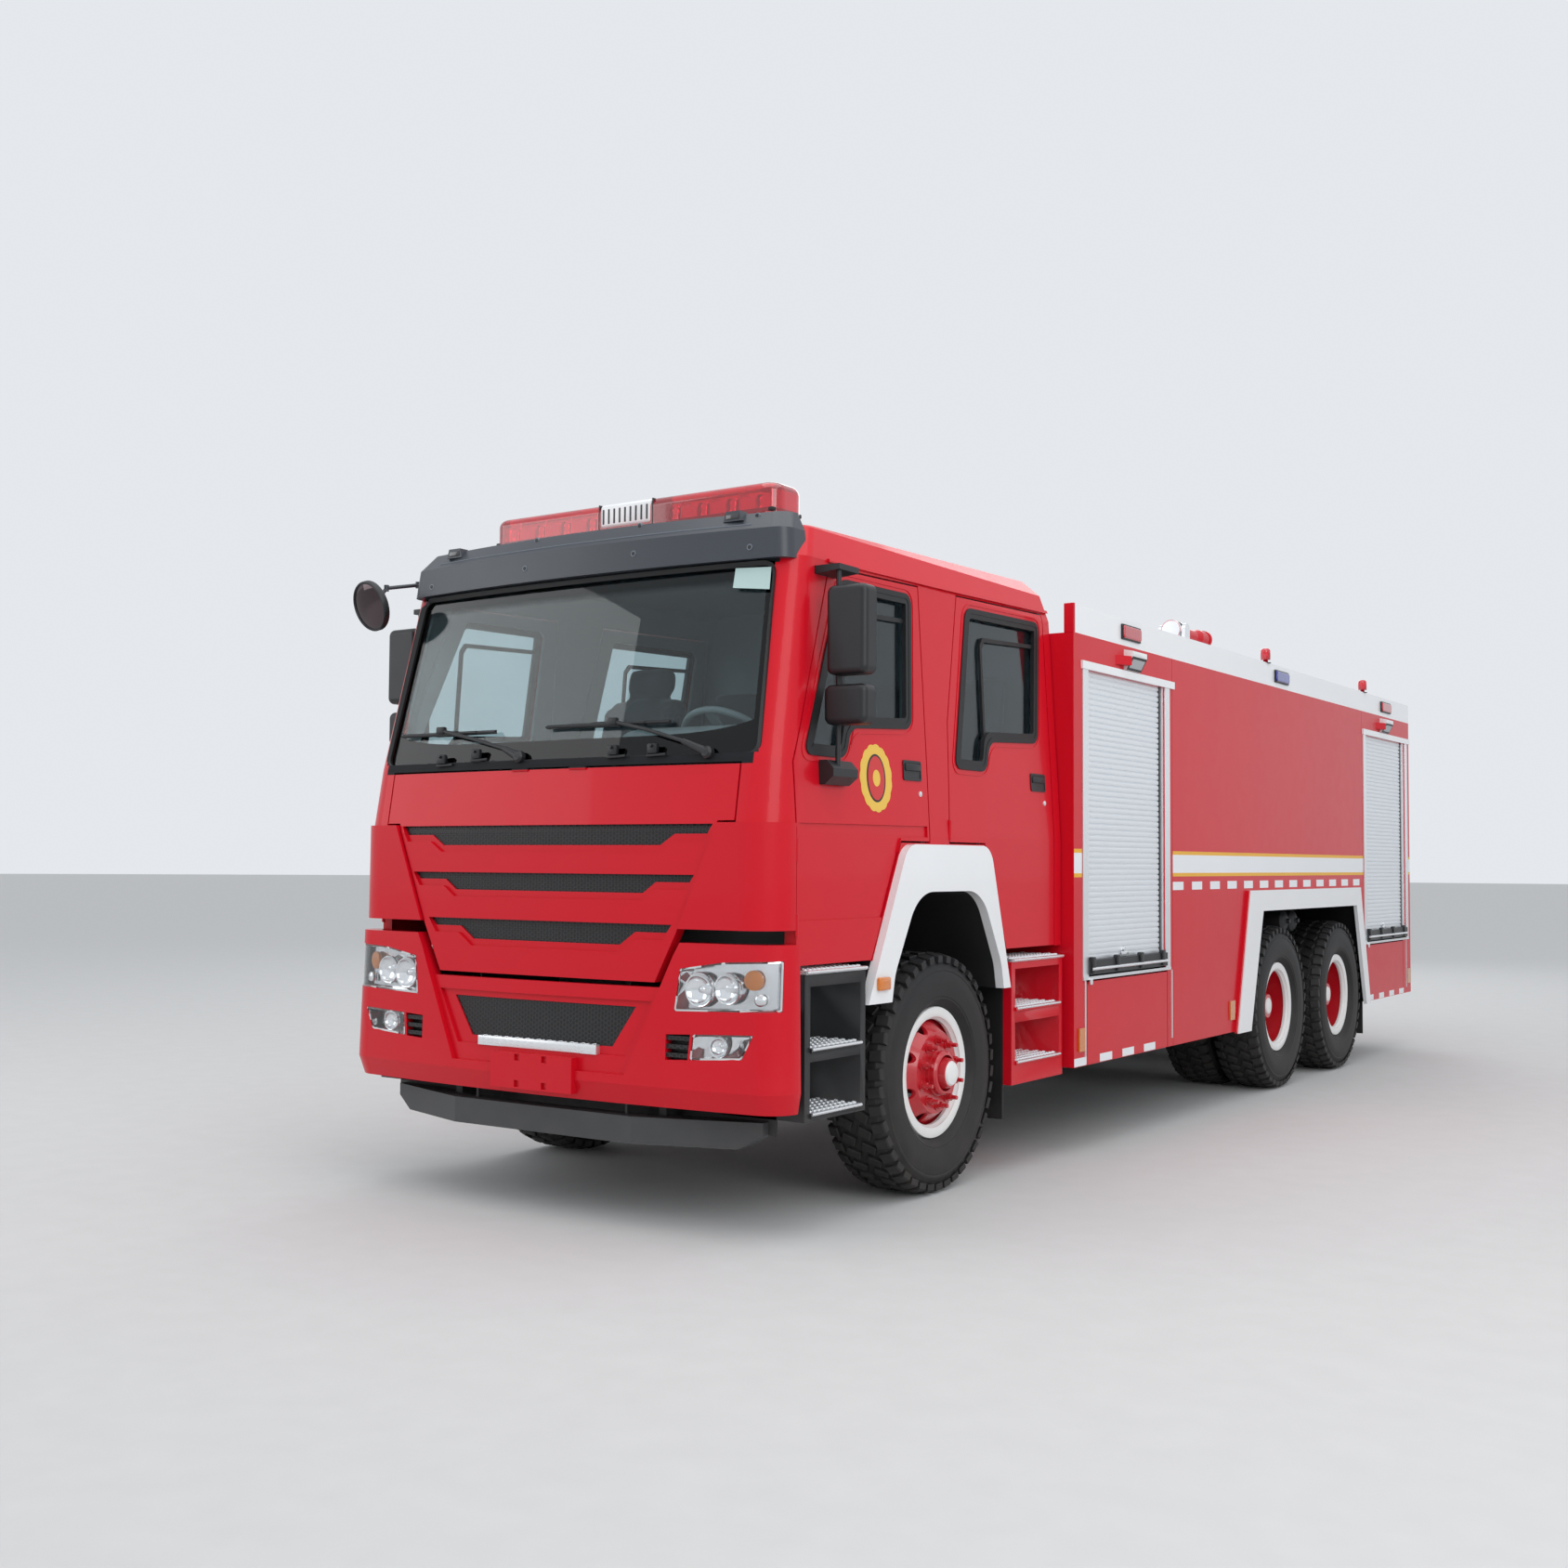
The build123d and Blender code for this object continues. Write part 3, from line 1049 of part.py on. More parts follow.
# Ladder on the rear wall.
LADDER_X = (820.0, 1160.0)
LADDER_Z = (800.0, 2830.0)
LADDER_TUBE = 16.0


def ladder():
    out = BODY_REAR + LADDER_REACH - LADDER_TUBE
    rails = [rod(LADDER_TUBE, (x, out, LADDER_Z[0]), (x, out, LADDER_Z[1])) for x in LADDER_X]
    rungs = [rod(13, (LADDER_X[0], out, LADDER_Z[0] + 130 + 290 * step), (LADDER_X[1], out, LADDER_Z[0] + 130 + 290 * step))
             for step in range(7)]
    feet = [rod(12, (x, BODY_REAR, z), (x, out, z)) for x in LADDER_X for z in (900, 2600)]
    return fuse(rails + rungs + feet)


save("rear_ladder", ladder())


def couplings():
    out = 60.0
    pieces = []
    for x, radius, bore in ((-900, 75, 62.5), (-700, 42, 32.5), (-1080, 42, 32.5)):
        ring = rod(radius, (x, BODY_REAR, 900), (x, BODY_REAR + out, 900))
        pieces.append(carve(ring, rod(bore, (x, BODY_REAR - 1, 900), (x, BODY_REAR + out + 1, 900))))
    return pieces


save("hose_couplings", couplings())

# Air and fuel tanks hung under the middle of the body, held to the frame's side.
TANK_RADIUS = 62.0
TANK_LENGTH = 620.0


def side_tanks():
    x = RAIL_OUTSIDE + TANK_RADIUS
    return both_sides(*[rod(TANK_RADIUS, (x, front, 880), (x, front + TANK_LENGTH, 880))
                        for front in (BODY_FRONT + 255, BODY_FRONT + 1055)])


save("side_tanks", side_tanks())


# Water monitor: fixed pipe and flange, turning elbow, tilting barrel that points aft at rest.
def monitor():
    x0 = 0.0
    base = fuse([
        rod(110, (x0, MONITOR_AFT, BODY_TOP), (x0, MONITOR_AFT, BODY_TOP + 20)),
        rod(65, (x0, MONITOR_AFT, BODY_TOP), (x0, MONITOR_AFT, MONITOR_BASE_TOP - 20)),
        rod(95, (x0, MONITOR_AFT, MONITOR_BASE_TOP - 20), (x0, MONITOR_AFT, MONITOR_BASE_TOP)),
    ])
    low = MONITOR_BASE_TOP + FIT_GAP
    cheek = fuse([
        block((80, 110), (MONITOR_AFT - 52, MONITOR_AFT + 52), (low + 60, MONITOR_PIVOT_Z)),
        rod(52, (80, MONITOR_AFT, MONITOR_PIVOT_Z), (110, MONITOR_AFT, MONITOR_PIVOT_Z)),
    ])
    turret = fuse([
        rod(95, (x0, MONITOR_AFT, low), (x0, MONITOR_AFT, low + 60)),
        rod(60, (x0, MONITOR_AFT, low), (x0, MONITOR_AFT, low + 110)),
        block((-110, 110), (MONITOR_AFT - 52, MONITOR_AFT + 52), (low + 60, low + 120)),
    ] + both_sides(cheek))
    pivot = rod(30, (-79.5, MONITOR_AFT, MONITOR_PIVOT_Z), (79.5, MONITOR_AFT, MONITOR_PIVOT_Z))
    barrel_pieces = [
        pivot,
        rod(78, (x0, MONITOR_AFT - 70, MONITOR_PIVOT_Z), (x0, MONITOR_AFT + 90, MONITOR_PIVOT_Z)),
        rod(48, (x0, MONITOR_AFT, MONITOR_PIVOT_Z), (x0, MONITOR_AFT + 480, MONITOR_PIVOT_Z)),
        Solid.make_cone(48, 66, 70, plane=Plane(origin=(x0, aft(MONITOR_AFT + 400), MONITOR_PIVOT_Z), z_dir=(0, 1, 0))),
        rod(66, (x0, MONITOR_AFT + 470, MONITOR_PIVOT_Z), (x0, MONITOR_AFT + 660, MONITOR_PIVOT_Z)),
        rod(73, (x0, MONITOR_AFT + 620, MONITOR_PIVOT_Z), (x0, MONITOR_AFT + 650, MONITOR_PIVOT_Z)),
    ]
    bore = rod(MONITOR_BORE_RADIUS, (x0, MONITOR_AFT + 100, MONITOR_PIVOT_Z),
               (x0, MONITOR_AFT + 700, MONITOR_PIVOT_Z))
    return base, turret, carve(fuse(barrel_pieces), bore)


base, turret, barrel_piece = monitor()
save("monitor_base", base)
save("monitor_turret", turret)
save("monitor_barrel", barrel_piece)


# Door mirrors on an upright arm, with an upper bracket and a foot on the door.
MIRROR_SEAT_GAP = 0.3
MIRROR_TUBE = 11.0
MIRROR_TUBE_X = 1218.0


def mirror_housing(x_range, y_range, z_range):
    """A mirror's housing with rounded corners and a rounded back."""
    shell = block(x_range, y_range, z_range)
    shell = fillet(shell.edges().filter_by(Axis.Y), 32)
    return fillet(shell.edges().group_by(Axis.Y)[0], 26)


def flank(z):
    """Half width of the cab's side at a height."""
    for low, high in zip(CAB_SECTIONS, CAB_SECTIONS[1:]):
        if low[0] <= z <= high[0]:
            return low[1] + (high[1] - low[1]) * (z - low[0]) / (high[0] - low[0])
    raise ValueError(z)


def door_bracket(outline, y_range):
    """A bracket seated on the door: its outline's points at None lie on the cab's side."""
    points = [(flank(z) + MIRROR_SEAT_GAP if x is None else x, z) for x, z in outline]
    return front_prism(points, y_range)


def mirror_arm():
    """Two mirrors on an upright tube between a flared foot and an upper bracket on the door."""
    x, y = MIRROR_TUBE_X, -975.0
    foot = door_bracket([(None, 1815), (1196, 1815), (1238, 1848), (1238, 1880), (1205, 1915), (None, 1915)],
                        (-1040, -850))
    bracket = door_bracket([(None, 2690), (1238, 2700), (1238, 2724), (None, 2724)], (-1002, -850))
    tube = rod(MIRROR_TUBE, (x, y, 1860), (x, y, 2710))
    main = mirror_housing((1190, 1385), (-1035, -950), (2262, 2630))
    wide = mirror_housing((1176, 1380), (-1030, -945), (2058, 2222))
    return fuse([tube, foot, bracket, *solids_of(main), *solids_of(wide)])


save("mirror_left", mirror_arm())
save("mirror_right", other_side(mirror_arm()))
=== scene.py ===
"""Looks of the three-axle fire truck. Metres: the truck faces -Y, its left side is +X, up is +Z."""
import math

import bmesh
import bpy
from mathutils import Matrix, Vector
from mathutils.bvhtree import BVHTree


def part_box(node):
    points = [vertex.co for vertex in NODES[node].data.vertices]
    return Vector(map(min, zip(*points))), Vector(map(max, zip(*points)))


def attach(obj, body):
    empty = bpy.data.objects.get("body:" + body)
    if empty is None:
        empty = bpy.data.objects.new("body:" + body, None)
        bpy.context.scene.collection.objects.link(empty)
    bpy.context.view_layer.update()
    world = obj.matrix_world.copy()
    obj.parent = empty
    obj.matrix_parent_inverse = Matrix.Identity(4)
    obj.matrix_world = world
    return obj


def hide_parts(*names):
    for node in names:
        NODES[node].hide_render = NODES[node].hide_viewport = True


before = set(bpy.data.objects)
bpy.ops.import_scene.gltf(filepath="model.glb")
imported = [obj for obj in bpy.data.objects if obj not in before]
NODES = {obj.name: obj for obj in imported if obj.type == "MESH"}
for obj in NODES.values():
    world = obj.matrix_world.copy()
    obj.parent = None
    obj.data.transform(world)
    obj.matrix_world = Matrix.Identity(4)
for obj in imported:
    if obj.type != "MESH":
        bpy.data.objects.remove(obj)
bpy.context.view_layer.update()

FRONT_AXLE_Y = -3.268
WHEEL_Z = 0.545
SIDES = (("left", 1), ("right", -1))


def back(distance):
    """Y of a place this far behind the front axle."""
    return FRONT_AXLE_Y + distance


# Camera: place and turn solved from the photograph's straight lines.
CAMERA_PLACE = (4.952, back(-6.8566), 1.4954)
CAMERA_YAW = math.radians(-34.2222)
CAMERA_PITCH = math.radians(2.6383)
CAMERA_ROLL = math.radians(0.386)
CAMERA_LENS = 39.097


def add_camera():
    forward = Vector((math.sin(CAMERA_YAW) * math.cos(CAMERA_PITCH),
                      math.cos(CAMERA_YAW) * math.cos(CAMERA_PITCH), math.sin(CAMERA_PITCH)))
    level = Vector((math.cos(CAMERA_YAW), -math.sin(CAMERA_YAW), 0.0))
    upright = level.cross(forward)
    right = level * math.cos(CAMERA_ROLL) + upright * math.sin(CAMERA_ROLL)
    up = upright * math.cos(CAMERA_ROLL) - level * math.sin(CAMERA_ROLL)
    data = bpy.data.cameras.new("camera")
    data.lens = CAMERA_LENS
    data.sensor_width = 36.0
    data.clip_end = 200.0
    camera = bpy.data.objects.new("camera", data)
    turn = Matrix((right, up, -forward)).transposed().to_4x4()
    camera.matrix_world = Matrix.Translation(CAMERA_PLACE) @ turn
    bpy.context.scene.collection.objects.link(camera)
    bpy.context.scene.camera = camera


add_camera()


# Shader groups that several finishes use.
def new_group(name, inputs, outputs):
    """A shader node group with its sockets; inputs are (name, kind, value)."""
    group = bpy.data.node_groups.new(name, "ShaderNodeTree")
    for label, kind, value in inputs:
        socket = group.interface.new_socket(label, in_out="INPUT", socket_type=kind)
        socket.default_value = value
    for label, kind in outputs:
        group.interface.new_socket(label, in_out="OUTPUT", socket_type=kind)
    enter = group.nodes.new("NodeGroupInput")
    leave = group.nodes.new("NodeGroupOutput")
    return group, enter.outputs, leave.inputs


FLOAT = "NodeSocketFloat"
COLOUR = "NodeSocketColor"


def add_node(tree, kind, links=(), **settings):
    """A node with its settings; links are (input, value or socket)."""
    node = tree.nodes.new(kind)
    for key, value in settings.items():
        setattr(node, key, value)
    for key, value in links:
        if isinstance(value, bpy.types.NodeSocket):
            tree.links.new(value, node.inputs[key])
        else:
            node.inputs[key].default_value = value
    return node


def noise(tree, scale, detail=3.0, stretch=(1.0, 1.0, 1.0)):
    place = add_node(tree, "ShaderNodeTexCoord").outputs["Object"]
    mapped = add_node(tree, "ShaderNodeMapping", [("Vector", place), ("Scale", stretch)])
    pattern = add_node(tree, "ShaderNodeTexNoise", [("Vector", mapped.outputs[0]), ("Detail", detail)])
    if isinstance(scale, bpy.types.NodeSocket):
        tree.links.new(scale, pattern.inputs["Scale"])
    else:
        pattern.inputs["Scale"].default_value = scale
    return pattern.outputs["Fac"]


def maths(tree, operation, first, second=0.0, third=None):
    links = [(0, first), (1, second)]
    if third is not None:
        links.append((2, third))
    return add_node(tree, "ShaderNodeMath", links, operation=operation).outputs[0]


def ramp(tree, value, low, high, out_low=0.0, out_high=1.0):
    """Smooth step of a value between low and high."""
    links = [("Value", value), ("From Min", low), ("From Max", high), ("To Min", out_low), ("To Max", out_high)]
    return add_node(tree, "ShaderNodeMapRange", links, interpolation_type="SMOOTHSTEP").outputs[0]


def mixed(tree, share, first, second):
    node = add_node(tree, "ShaderNodeMix", data_type="RGBA")
    for index, value in ((0, share), (6, first), (7, second)):
        if isinstance(value, bpy.types.NodeSocket):
            tree.links.new(value, node.inputs[index])
        else:
            node.inputs[index].default_value = value
    return node.outputs[2]


def height_above_ground(tree):
    place = add_node(tree, "ShaderNodeTexCoord").outputs["Object"]
    return add_node(tree, "ShaderNodeSeparateXYZ", [(0, place)]).outputs["Z"]


def road_dust_group():
    """Paint or plastic with slow colour drift, grain, and road dust that gathers low on the truck."""
    group, enter, leave = new_group("road_dust", [
        ("Colour", COLOUR, (1, 1, 1, 1)), ("Drift", FLOAT, 0.06), ("Drift Scale", FLOAT, 1.6),
        ("Dust", FLOAT, 0.3), ("Dust Height", FLOAT, 0.9), ("Roughness", FLOAT, 0.3),
        ("Grain Scale", FLOAT, 400.0), ("Roughness Drift", FLOAT, 0.08),
    ], [("Colour", COLOUR), ("Roughness", FLOAT), ("Height", FLOAT)])
    slow = noise(group, enter["Drift Scale"])
    fine = noise(group, enter["Grain Scale"], 2.0)
    patches = noise(group, 9.0, 5.0)
    drift = maths(group, "MULTIPLY_ADD", maths(group, "SUBTRACT", slow, 0.5), enter["Drift"], 1.0)
    shade = add_node(group, "ShaderNodeHueSaturation", [("Value", drift), ("Color", enter["Colour"])])
    depth = maths(group, "DIVIDE", height_above_ground(group), enter["Dust Height"])
    low = ramp(group, depth, 0.0, 1.0, 1.0, 0.0)
    spread = maths(group, "MULTIPLY", low, ramp(group, patches, 0.3, 0.75, 0.35, 1.0))
    dust = maths(group, "MULTIPLY", spread, enter["Dust"])
    group.links.new(mixed(group, dust, shade.outputs[0], (0.32, 0.27, 0.22, 1.0)), leave["Colour"])
    varied = maths(group, "MULTIPLY_ADD", maths(group, "SUBTRACT", patches, 0.5), enter["Roughness Drift"],
                   enter["Roughness"])
    group.links.new(maths(group, "MULTIPLY_ADD", dust, 0.5, varied), leave["Roughness"])
    group.links.new(fine, leave["Height"])
    return group


def brushed_group():
    """Rolled or brushed metal with long fine streaks along one axis."""
    group, enter, leave = new_group("brushed", [
        ("Colour", COLOUR, (0.8, 0.8, 0.8, 1)), ("Roughness", FLOAT, 0.35), ("Streaks", FLOAT, 0.08),
        ("Scale", FLOAT, 60.0),
    ], [("Colour", COLOUR), ("Roughness", FLOAT), ("Height", FLOAT)])
    streaks = noise(group, enter["Scale"], 4.0, (6.0, 0.35, 6.0))
    blotches = noise(group, 4.0, 4.0)
    drift = maths(group, "MULTIPLY_ADD", maths(group, "SUBTRACT", streaks, 0.5), enter["Streaks"], 1.0)
    shade = add_node(group, "ShaderNodeHueSaturation", [("Value", drift), ("Color", enter["Colour"])])
    group.links.new(shade.outputs[0], leave["Colour"])
    rough = maths(group, "MULTIPLY_ADD", maths(group, "SUBTRACT", blotches, 0.5), 0.16, enter["Roughness"])
    group.links.new(rough, leave["Roughness"])
    group.links.new(streaks, leave["Height"])
    return group


ROAD_DUST = road_dust_group()
BRUSHED = brushed_group()


def add_relief(tree, height, strength, distance):
    """Bump on the surface of a material."""
    relief = add_node(tree, "ShaderNodeBump", [("Height", height), ("Strength", strength), ("Distance", distance)])
    tree.links.new(relief.outputs[0], tree.nodes["Principled BSDF"].inputs["Normal"])


GRAIN_DEPTH = 0.001


def new_material(name, group, values, bump=0.1, **shader):
    """A Principled material fed by one of the shared groups; shader holds plain socket values."""
    material = bpy.data.materials.new(name)
    material.use_nodes = True
    tree = material.node_tree
    surface = tree.nodes["Principled BSDF"]
    finish = tree.nodes.new("ShaderNodeGroup")
    finish.node_tree = group
    for label, value in values.items():
        finish.inputs[label].default_value = value
    for source, target in (("Colour", "Base Color"), ("Roughness", "Roughness")):
        tree.links.new(finish.outputs[source], surface.inputs[target])
    add_relief(tree, finish.outputs["Height"], bump, GRAIN_DEPTH)
    for label, value in shader.items():
        surface.inputs[label.replace("_", " ")].default_value = value
    return material


def dusty(name, colour, roughness, dust=0.3, dust_height=0.9, drift=0.06, grain=400.0, bump=0.05, **shader):
    values = {"Colour": (*colour, 1.0), "Roughness": roughness, "Dust": dust, "Dust Height": dust_height,
              "Drift": drift, "Grain Scale": grain}
    return new_material(name, ROAD_DUST, values, bump, **shader)


def brushed(name, colour, roughness, streaks=0.1, bump=0.08, metal=1.0):
    values = {"Colour": (*colour, 1.0), "Roughness": roughness, "Streaks": streaks}
    return new_material(name, BRUSHED, values, bump, Metallic=metal)


def lens(name, colour, roughness=0.06, see_through=0.35):
    """Coloured lamp plastic with faint moulded ribs."""
    return dusty(name, colour, roughness, dust=0.0, drift=0.12, grain=90.0, bump=0.25, Coat_Weight=1.0,
                 Coat_Roughness=0.03, Transmission_Weight=see_through, IOR=1.49)


# Finishes: colour, roughness, and what differs from the usual.
DUSTY = {
    "red_gloss": ((0.60, 0.003, 0.014), 0.34, dict(
        dust=0.03, grain=160.0, bump=0.02, Coat_Weight=0.22, Coat_Roughness=0.05, Specular_IOR_Level=0.2)),
    "white_gloss": ((0.83, 0.84, 0.85), 0.32, dict(
        dust=0.06, grain=160.0, bump=0.02, Coat_Weight=0.8, Coat_Roughness=0.06)),
    "wheel_red": ((0.52, 0.004, 0.014), 0.33, dict(dust=0.08, grain=220.0, Coat_Weight=0.7, Coat_Roughness=0.1)),
    "chassis_black": ((0.014, 0.015, 0.017), 0.50, dict(dust=0.10, grain=320.0)),
    "bar_grey": ((0.040, 0.044, 0.048), 0.5, dict(dust=0.10, grain=300.0)),
    "cast_grey": ((0.10, 0.10, 0.10), 0.7, dict(grain=240.0, bump=0.3, Metallic=0.3)),
    "black_plastic": ((0.011, 0.012, 0.014), 0.42, dict(dust=0.05, grain=700.0, bump=0.15)),
    "visor_grey": ((0.040, 0.047, 0.058), 0.34, dict(dust=0.0, drift=0.1, grain=700.0, bump=0.08)),
    # Lighter grey of the visor's washers, and of the bead on the visor's fold, where it is a painted highlight.
    "visor_edge": ((0.13, 0.15, 0.18), 0.3, dict(dust=0.0, grain=700.0)),
    "dash_plastic": ((0.20, 0.24, 0.26), 0.6, dict(dust=0.0, grain=600.0, bump=0.2)),
    "black_rubber": ((0.008, 0.008, 0.009), 0.55, dict(dust=0.06, grain=500.0, bump=0.15)),
    "tyre_rubber": ((0.008, 0.0078, 0.0088), 0.62, dict(
        dust=0.07, dust_height=1.2, drift=0.25, grain=380.0, bump=0.25)),
    "wheel_white": ((0.82, 0.82, 0.81), 0.40, dict(dust=0.12, dust_height=1.1, grain=260.0)),
    "yellow_tape": ((0.82, 0.42, 0.01), 0.4, dict(dust=0.03, grain=900.0, bump=0.1)),
    "white_tape": ((0.80, 0.82, 0.84), 0.4, dict(dust=0.03, grain=900.0, bump=0.1)),
    "badge_gold": ((0.80, 0.50, 0.06), 0.35, dict(dust=0.0, grain=300.0, bump=0.3)),
    "badge_red": ((0.60, 0.02, 0.02), 0.35, dict(dust=0.0, grain=300.0, bump=0.2)),
    "pale_label": ((0.45, 0.60, 0.58), 0.5, dict(dust=0.0, drift=0.3, grain=120.0)),
    "amber_bulb": ((0.95, 0.27, 0.004), 0.2, dict(dust=0.0, grain=90.0, bump=0.4)),
    "led_white": ((0.42, 0.44, 0.46), 0.25, dict(dust=0.0, grain=60.0, bump=0.5)),
}
METALS = {
    "shutter_alloy": ((0.80, 0.83, 0.86), 0.36, dict(metal=0.55)),
    "bright_alloy": ((0.82, 0.84, 0.86), 0.28, dict(metal=0.8)),
    "lamp_silver": ((0.90, 0.91, 0.92), 0.12, dict(streaks=0.04)),
    "mirror_face": ((0.86, 0.88, 0.90), 0.03, dict(streaks=0.01, bump=0.0)),
    # The round mirror's face: a dark reddish colour that is a painted reflection.
    "dark_mirror": ((0.10, 0.075, 0.08), 0.05, dict(streaks=0.2, bump=0.0)),
}
LENSES = {
    "red_lens": ((0.72, 0.012, 0.03), 0.06, {}),
    "blue_lens": ((0.01, 0.03, 0.45), 0.06, {}),
    "amber_lens": ((0.9, 0.25, 0.005), 0.06, {}),
    "beacon_lens": ((0.80, 0.008, 0.03), 0.06, dict(see_through=0.7)),
    "clear_lens": ((0.93, 0.95, 0.96), 0.03, dict(see_through=0.92)),
    "lamp_cover": ((0.97, 0.98, 0.99), 0.02, dict(see_through=1.0)),
    "dark_lens": ((0.03, 0.03, 0.035), 0.08, dict(see_through=0.2)),
}
PAINT = {name: make(name, colour, roughness, **more)
         for make, table in ((dusty, DUSTY), (brushed, METALS), (lens, LENSES))
         for name, (colour, roughness, more) in table.items()}
# The two step boxes share finishes with other pieces and keep names of their own.
PAINT["step_black"] = PAINT["chassis_black"]
PAINT["step_red"] = PAINT["red_gloss"]


def coordinates(tree):
    """Across from the middle, distance behind the front axle and height of a point on the truck."""
    place = add_node(tree, "ShaderNodeTexCoord").outputs["Object"]
    axes = add_node(tree, "ShaderNodeSeparateXYZ", [(0, place)]).outputs
    return maths(tree, "ABSOLUTE", axes["X"]), maths(tree, "SUBTRACT", axes["Y"], FRONT_AXLE_Y), axes["Z"]


def below(tree, value, limit, soft=0.002):
    """One where a value is under a limit, which may itself be a socket."""
    return ramp(tree, maths(tree, "SUBTRACT", limit, value), -soft, soft)


def all_of(tree, *masks):
    whole = masks[0]
    for mask in masks[1:]:
        whole = maths(tree, "MULTIPLY", whole, mask)
    return whole


def zone(tree, place, wide, heights, lengths):
    """One up to a distance from the middle, between two heights and two places aft; None is an open end."""
    across, aft, height = place
    (low, high), (front, rear) = heights, lengths
    ends = ((across, wide), (height, high), (low, height), (front, aft), (aft, rear))
    return all_of(tree, *[below(tree, first, second) for first, second in ends
                          if first is not None and second is not None])


def paint_over(tree, mask, colour):
    """Lay a plain colour over the present one where a mask is one."""
    base = tree.nodes["Principled BSDF"].inputs["Base Color"]
    tree.links.new(mixed(tree, mask, base.links[0].from_socket, (*colour, 1.0)), base)


def shift(tree, mask, label, change):
    """Change one of the surface's values where a mask is one."""
    value = tree.nodes["Principled BSDF"].inputs[label]
    present = value.links[0].from_socket if value.is_linked else value.default_value
    tree.links.new(maths(tree, "MULTIPLY_ADD", mask, change, present), value)


# Windscreen: heights of the dark sun strip and of the print at the cowl, and where the side print starts.
SUN_STRIP = 2.655
COWL_PRINT = 2.018
SIDE_PRINT = 1.020
PRINT_BLACK = (0.004, 0.004, 0.005, 1.0)


def glass(name, tint, printed=False):
    """Thin tinted glass; a printed one has a dark sun strip and a black border."""
    material = bpy.data.materials.new(name)
    material.use_nodes = True
    tree = material.node_tree
    surface = tree.nodes["Principled BSDF"]
    smear = noise(tree, 3.0, 3.0)
    colour = mixed(tree, ramp(tree, smear, 0.3, 0.8), (*tint, 1.0), (*[c * 0.94 for c in tint], 1.0))
    if printed:
        across, _aft, height = coordinates(tree)
        strip = ramp(tree, height, SUN_STRIP - 0.02, SUN_STRIP + 0.02)
        colour = mixed(tree, strip, colour, (0.05, 0.09, 0.10, 1.0))
        bowed = maths(tree, "MULTIPLY_ADD", maths(tree, "POWER", across, 6.0), 0.05, COWL_PRINT)
        colour = mixed(tree, below(tree, height, bowed), colour, PRINT_BLACK)
        edge = maths(tree, "MULTIPLY_ADD", maths(tree, "SUBTRACT", height, 1.935), -0.065, SIDE_PRINT)
        colour = mixed(tree, below(tree, edge, across), colour, PRINT_BLACK)
    tree.links.new(colour, surface.inputs["Base Color"])
    tree.links.new(ramp(tree, smear, 0.2, 0.9, 0.0, 0.03), surface.inputs["Roughness"])
    for label, value in (("Transmission Weight", 1.0), ("IOR", 1.12), ("Coat Weight", 0.6),
                         ("Coat Roughness", 0.01)):
        surface.inputs[label].default_value = value
    return material


# Cab: a point that its inner faces look towards, and the black zones under and over the windscreen.
CAB_MIDDLE = (0.0, back(0.0), 2.1)
COWL_ZONE = (1.045, (1.890, 1.947), (None, -1.28))
HEADER_ZONE = (1.030, (2.728, 2.765), (None, -1.10))


def cab_paint():
    """Red gloss outside, grey lining on the faces inside the cab, and black round the windscreen."""
    material = PAINT["red_gloss"].copy()
    material.name = "cab_paint"
    tree = material.node_tree
    place = across, aft, height = coordinates(tree)
    rise = maths(tree, "MAXIMUM", maths(tree, "SUBTRACT", height, 1.62), 0.0)
    wall = maths(tree, "MULTIPLY_ADD", rise, -0.06, 1.15)
    front = maths(tree, "MULTIPLY_ADD", rise, 0.193, -1.25)
    within = zone(tree, place, wall, (None, 2.76), (front, None))
    point = add_node(tree, "ShaderNodeTexCoord").outputs
    outward = add_node(tree, "ShaderNodeVectorMath", [(0, point["Object"]), (1, CAB_MIDDLE)], operation="SUBTRACT")
    facing = add_node(tree, "ShaderNodeVectorMath", [(0, point["Normal"]), (1, outward.outputs["Vector"])],
                      operation="DOT_PRODUCT").outputs["Value"]
    inward = all_of(tree, below(tree, facing, -0.02, 0.02), below(tree, across, 1.10), below(tree, -1.20, aft))
    lined = maths(tree, "MAXIMUM", within, inward)
    lining = all_of(tree, lined, below(tree, aft, 1.20), below(tree, 1.37, height))
    black = maths(tree, "MAXIMUM", zone(tree, place, *COWL_ZONE), zone(tree, place, *HEADER_ZONE))
    paint_over(tree, lining, (0.30, 0.35, 0.38))
    paint_over(tree, black, (0.010, 0.011, 0.013))
    bare = maths(tree, "MAXIMUM", lining, black)
    shift(tree, bare, "Coat Weight", -0.22)
    shift(tree, bare, "Roughness", 0.3)
    return material


MESH_PITCH = 0.017


def honeycomb(name):
    """Black honeycomb mesh: three waves at sixty degrees leave the webs between the holes."""
    material = dusty(name, (0.02, 0.02, 0.022), 0.45, dust=0.05, grain=500.0)
    tree = material.node_tree
    place = add_node(tree, "ShaderNodeTexCoord").outputs["Object"]
    axes = add_node(tree, "ShaderNodeSeparateXYZ", [(0, place)]).outputs
    step = 2 * math.pi / MESH_PITCH
    waves = []
    for turn in (0, 60, 120):
        angle = math.radians(turn)
        along_axis = maths(tree, "MULTIPLY_ADD", axes["Z"], math.sin(angle) * step,
                           maths(tree, "MULTIPLY", axes["X"], math.cos(angle) * step))
        waves.append(maths(tree, "COSINE", along_axis))
    total = maths(tree, "ADD", maths(tree, "ADD", waves[0], waves[1]), waves[2])
    web = ramp(tree, total, -0.9, 0.2, 1.0, 0.0)
    colour = mixed(tree, web, (0.001, 0.001, 0.001, 1.0), (0.017, 0.018, 0.020, 1.0))
    tree.links.new(colour, tree.nodes["Principled BSDF"].inputs["Base Color"])
    add_relief(tree, web, 0.9, 0.004)
    return material


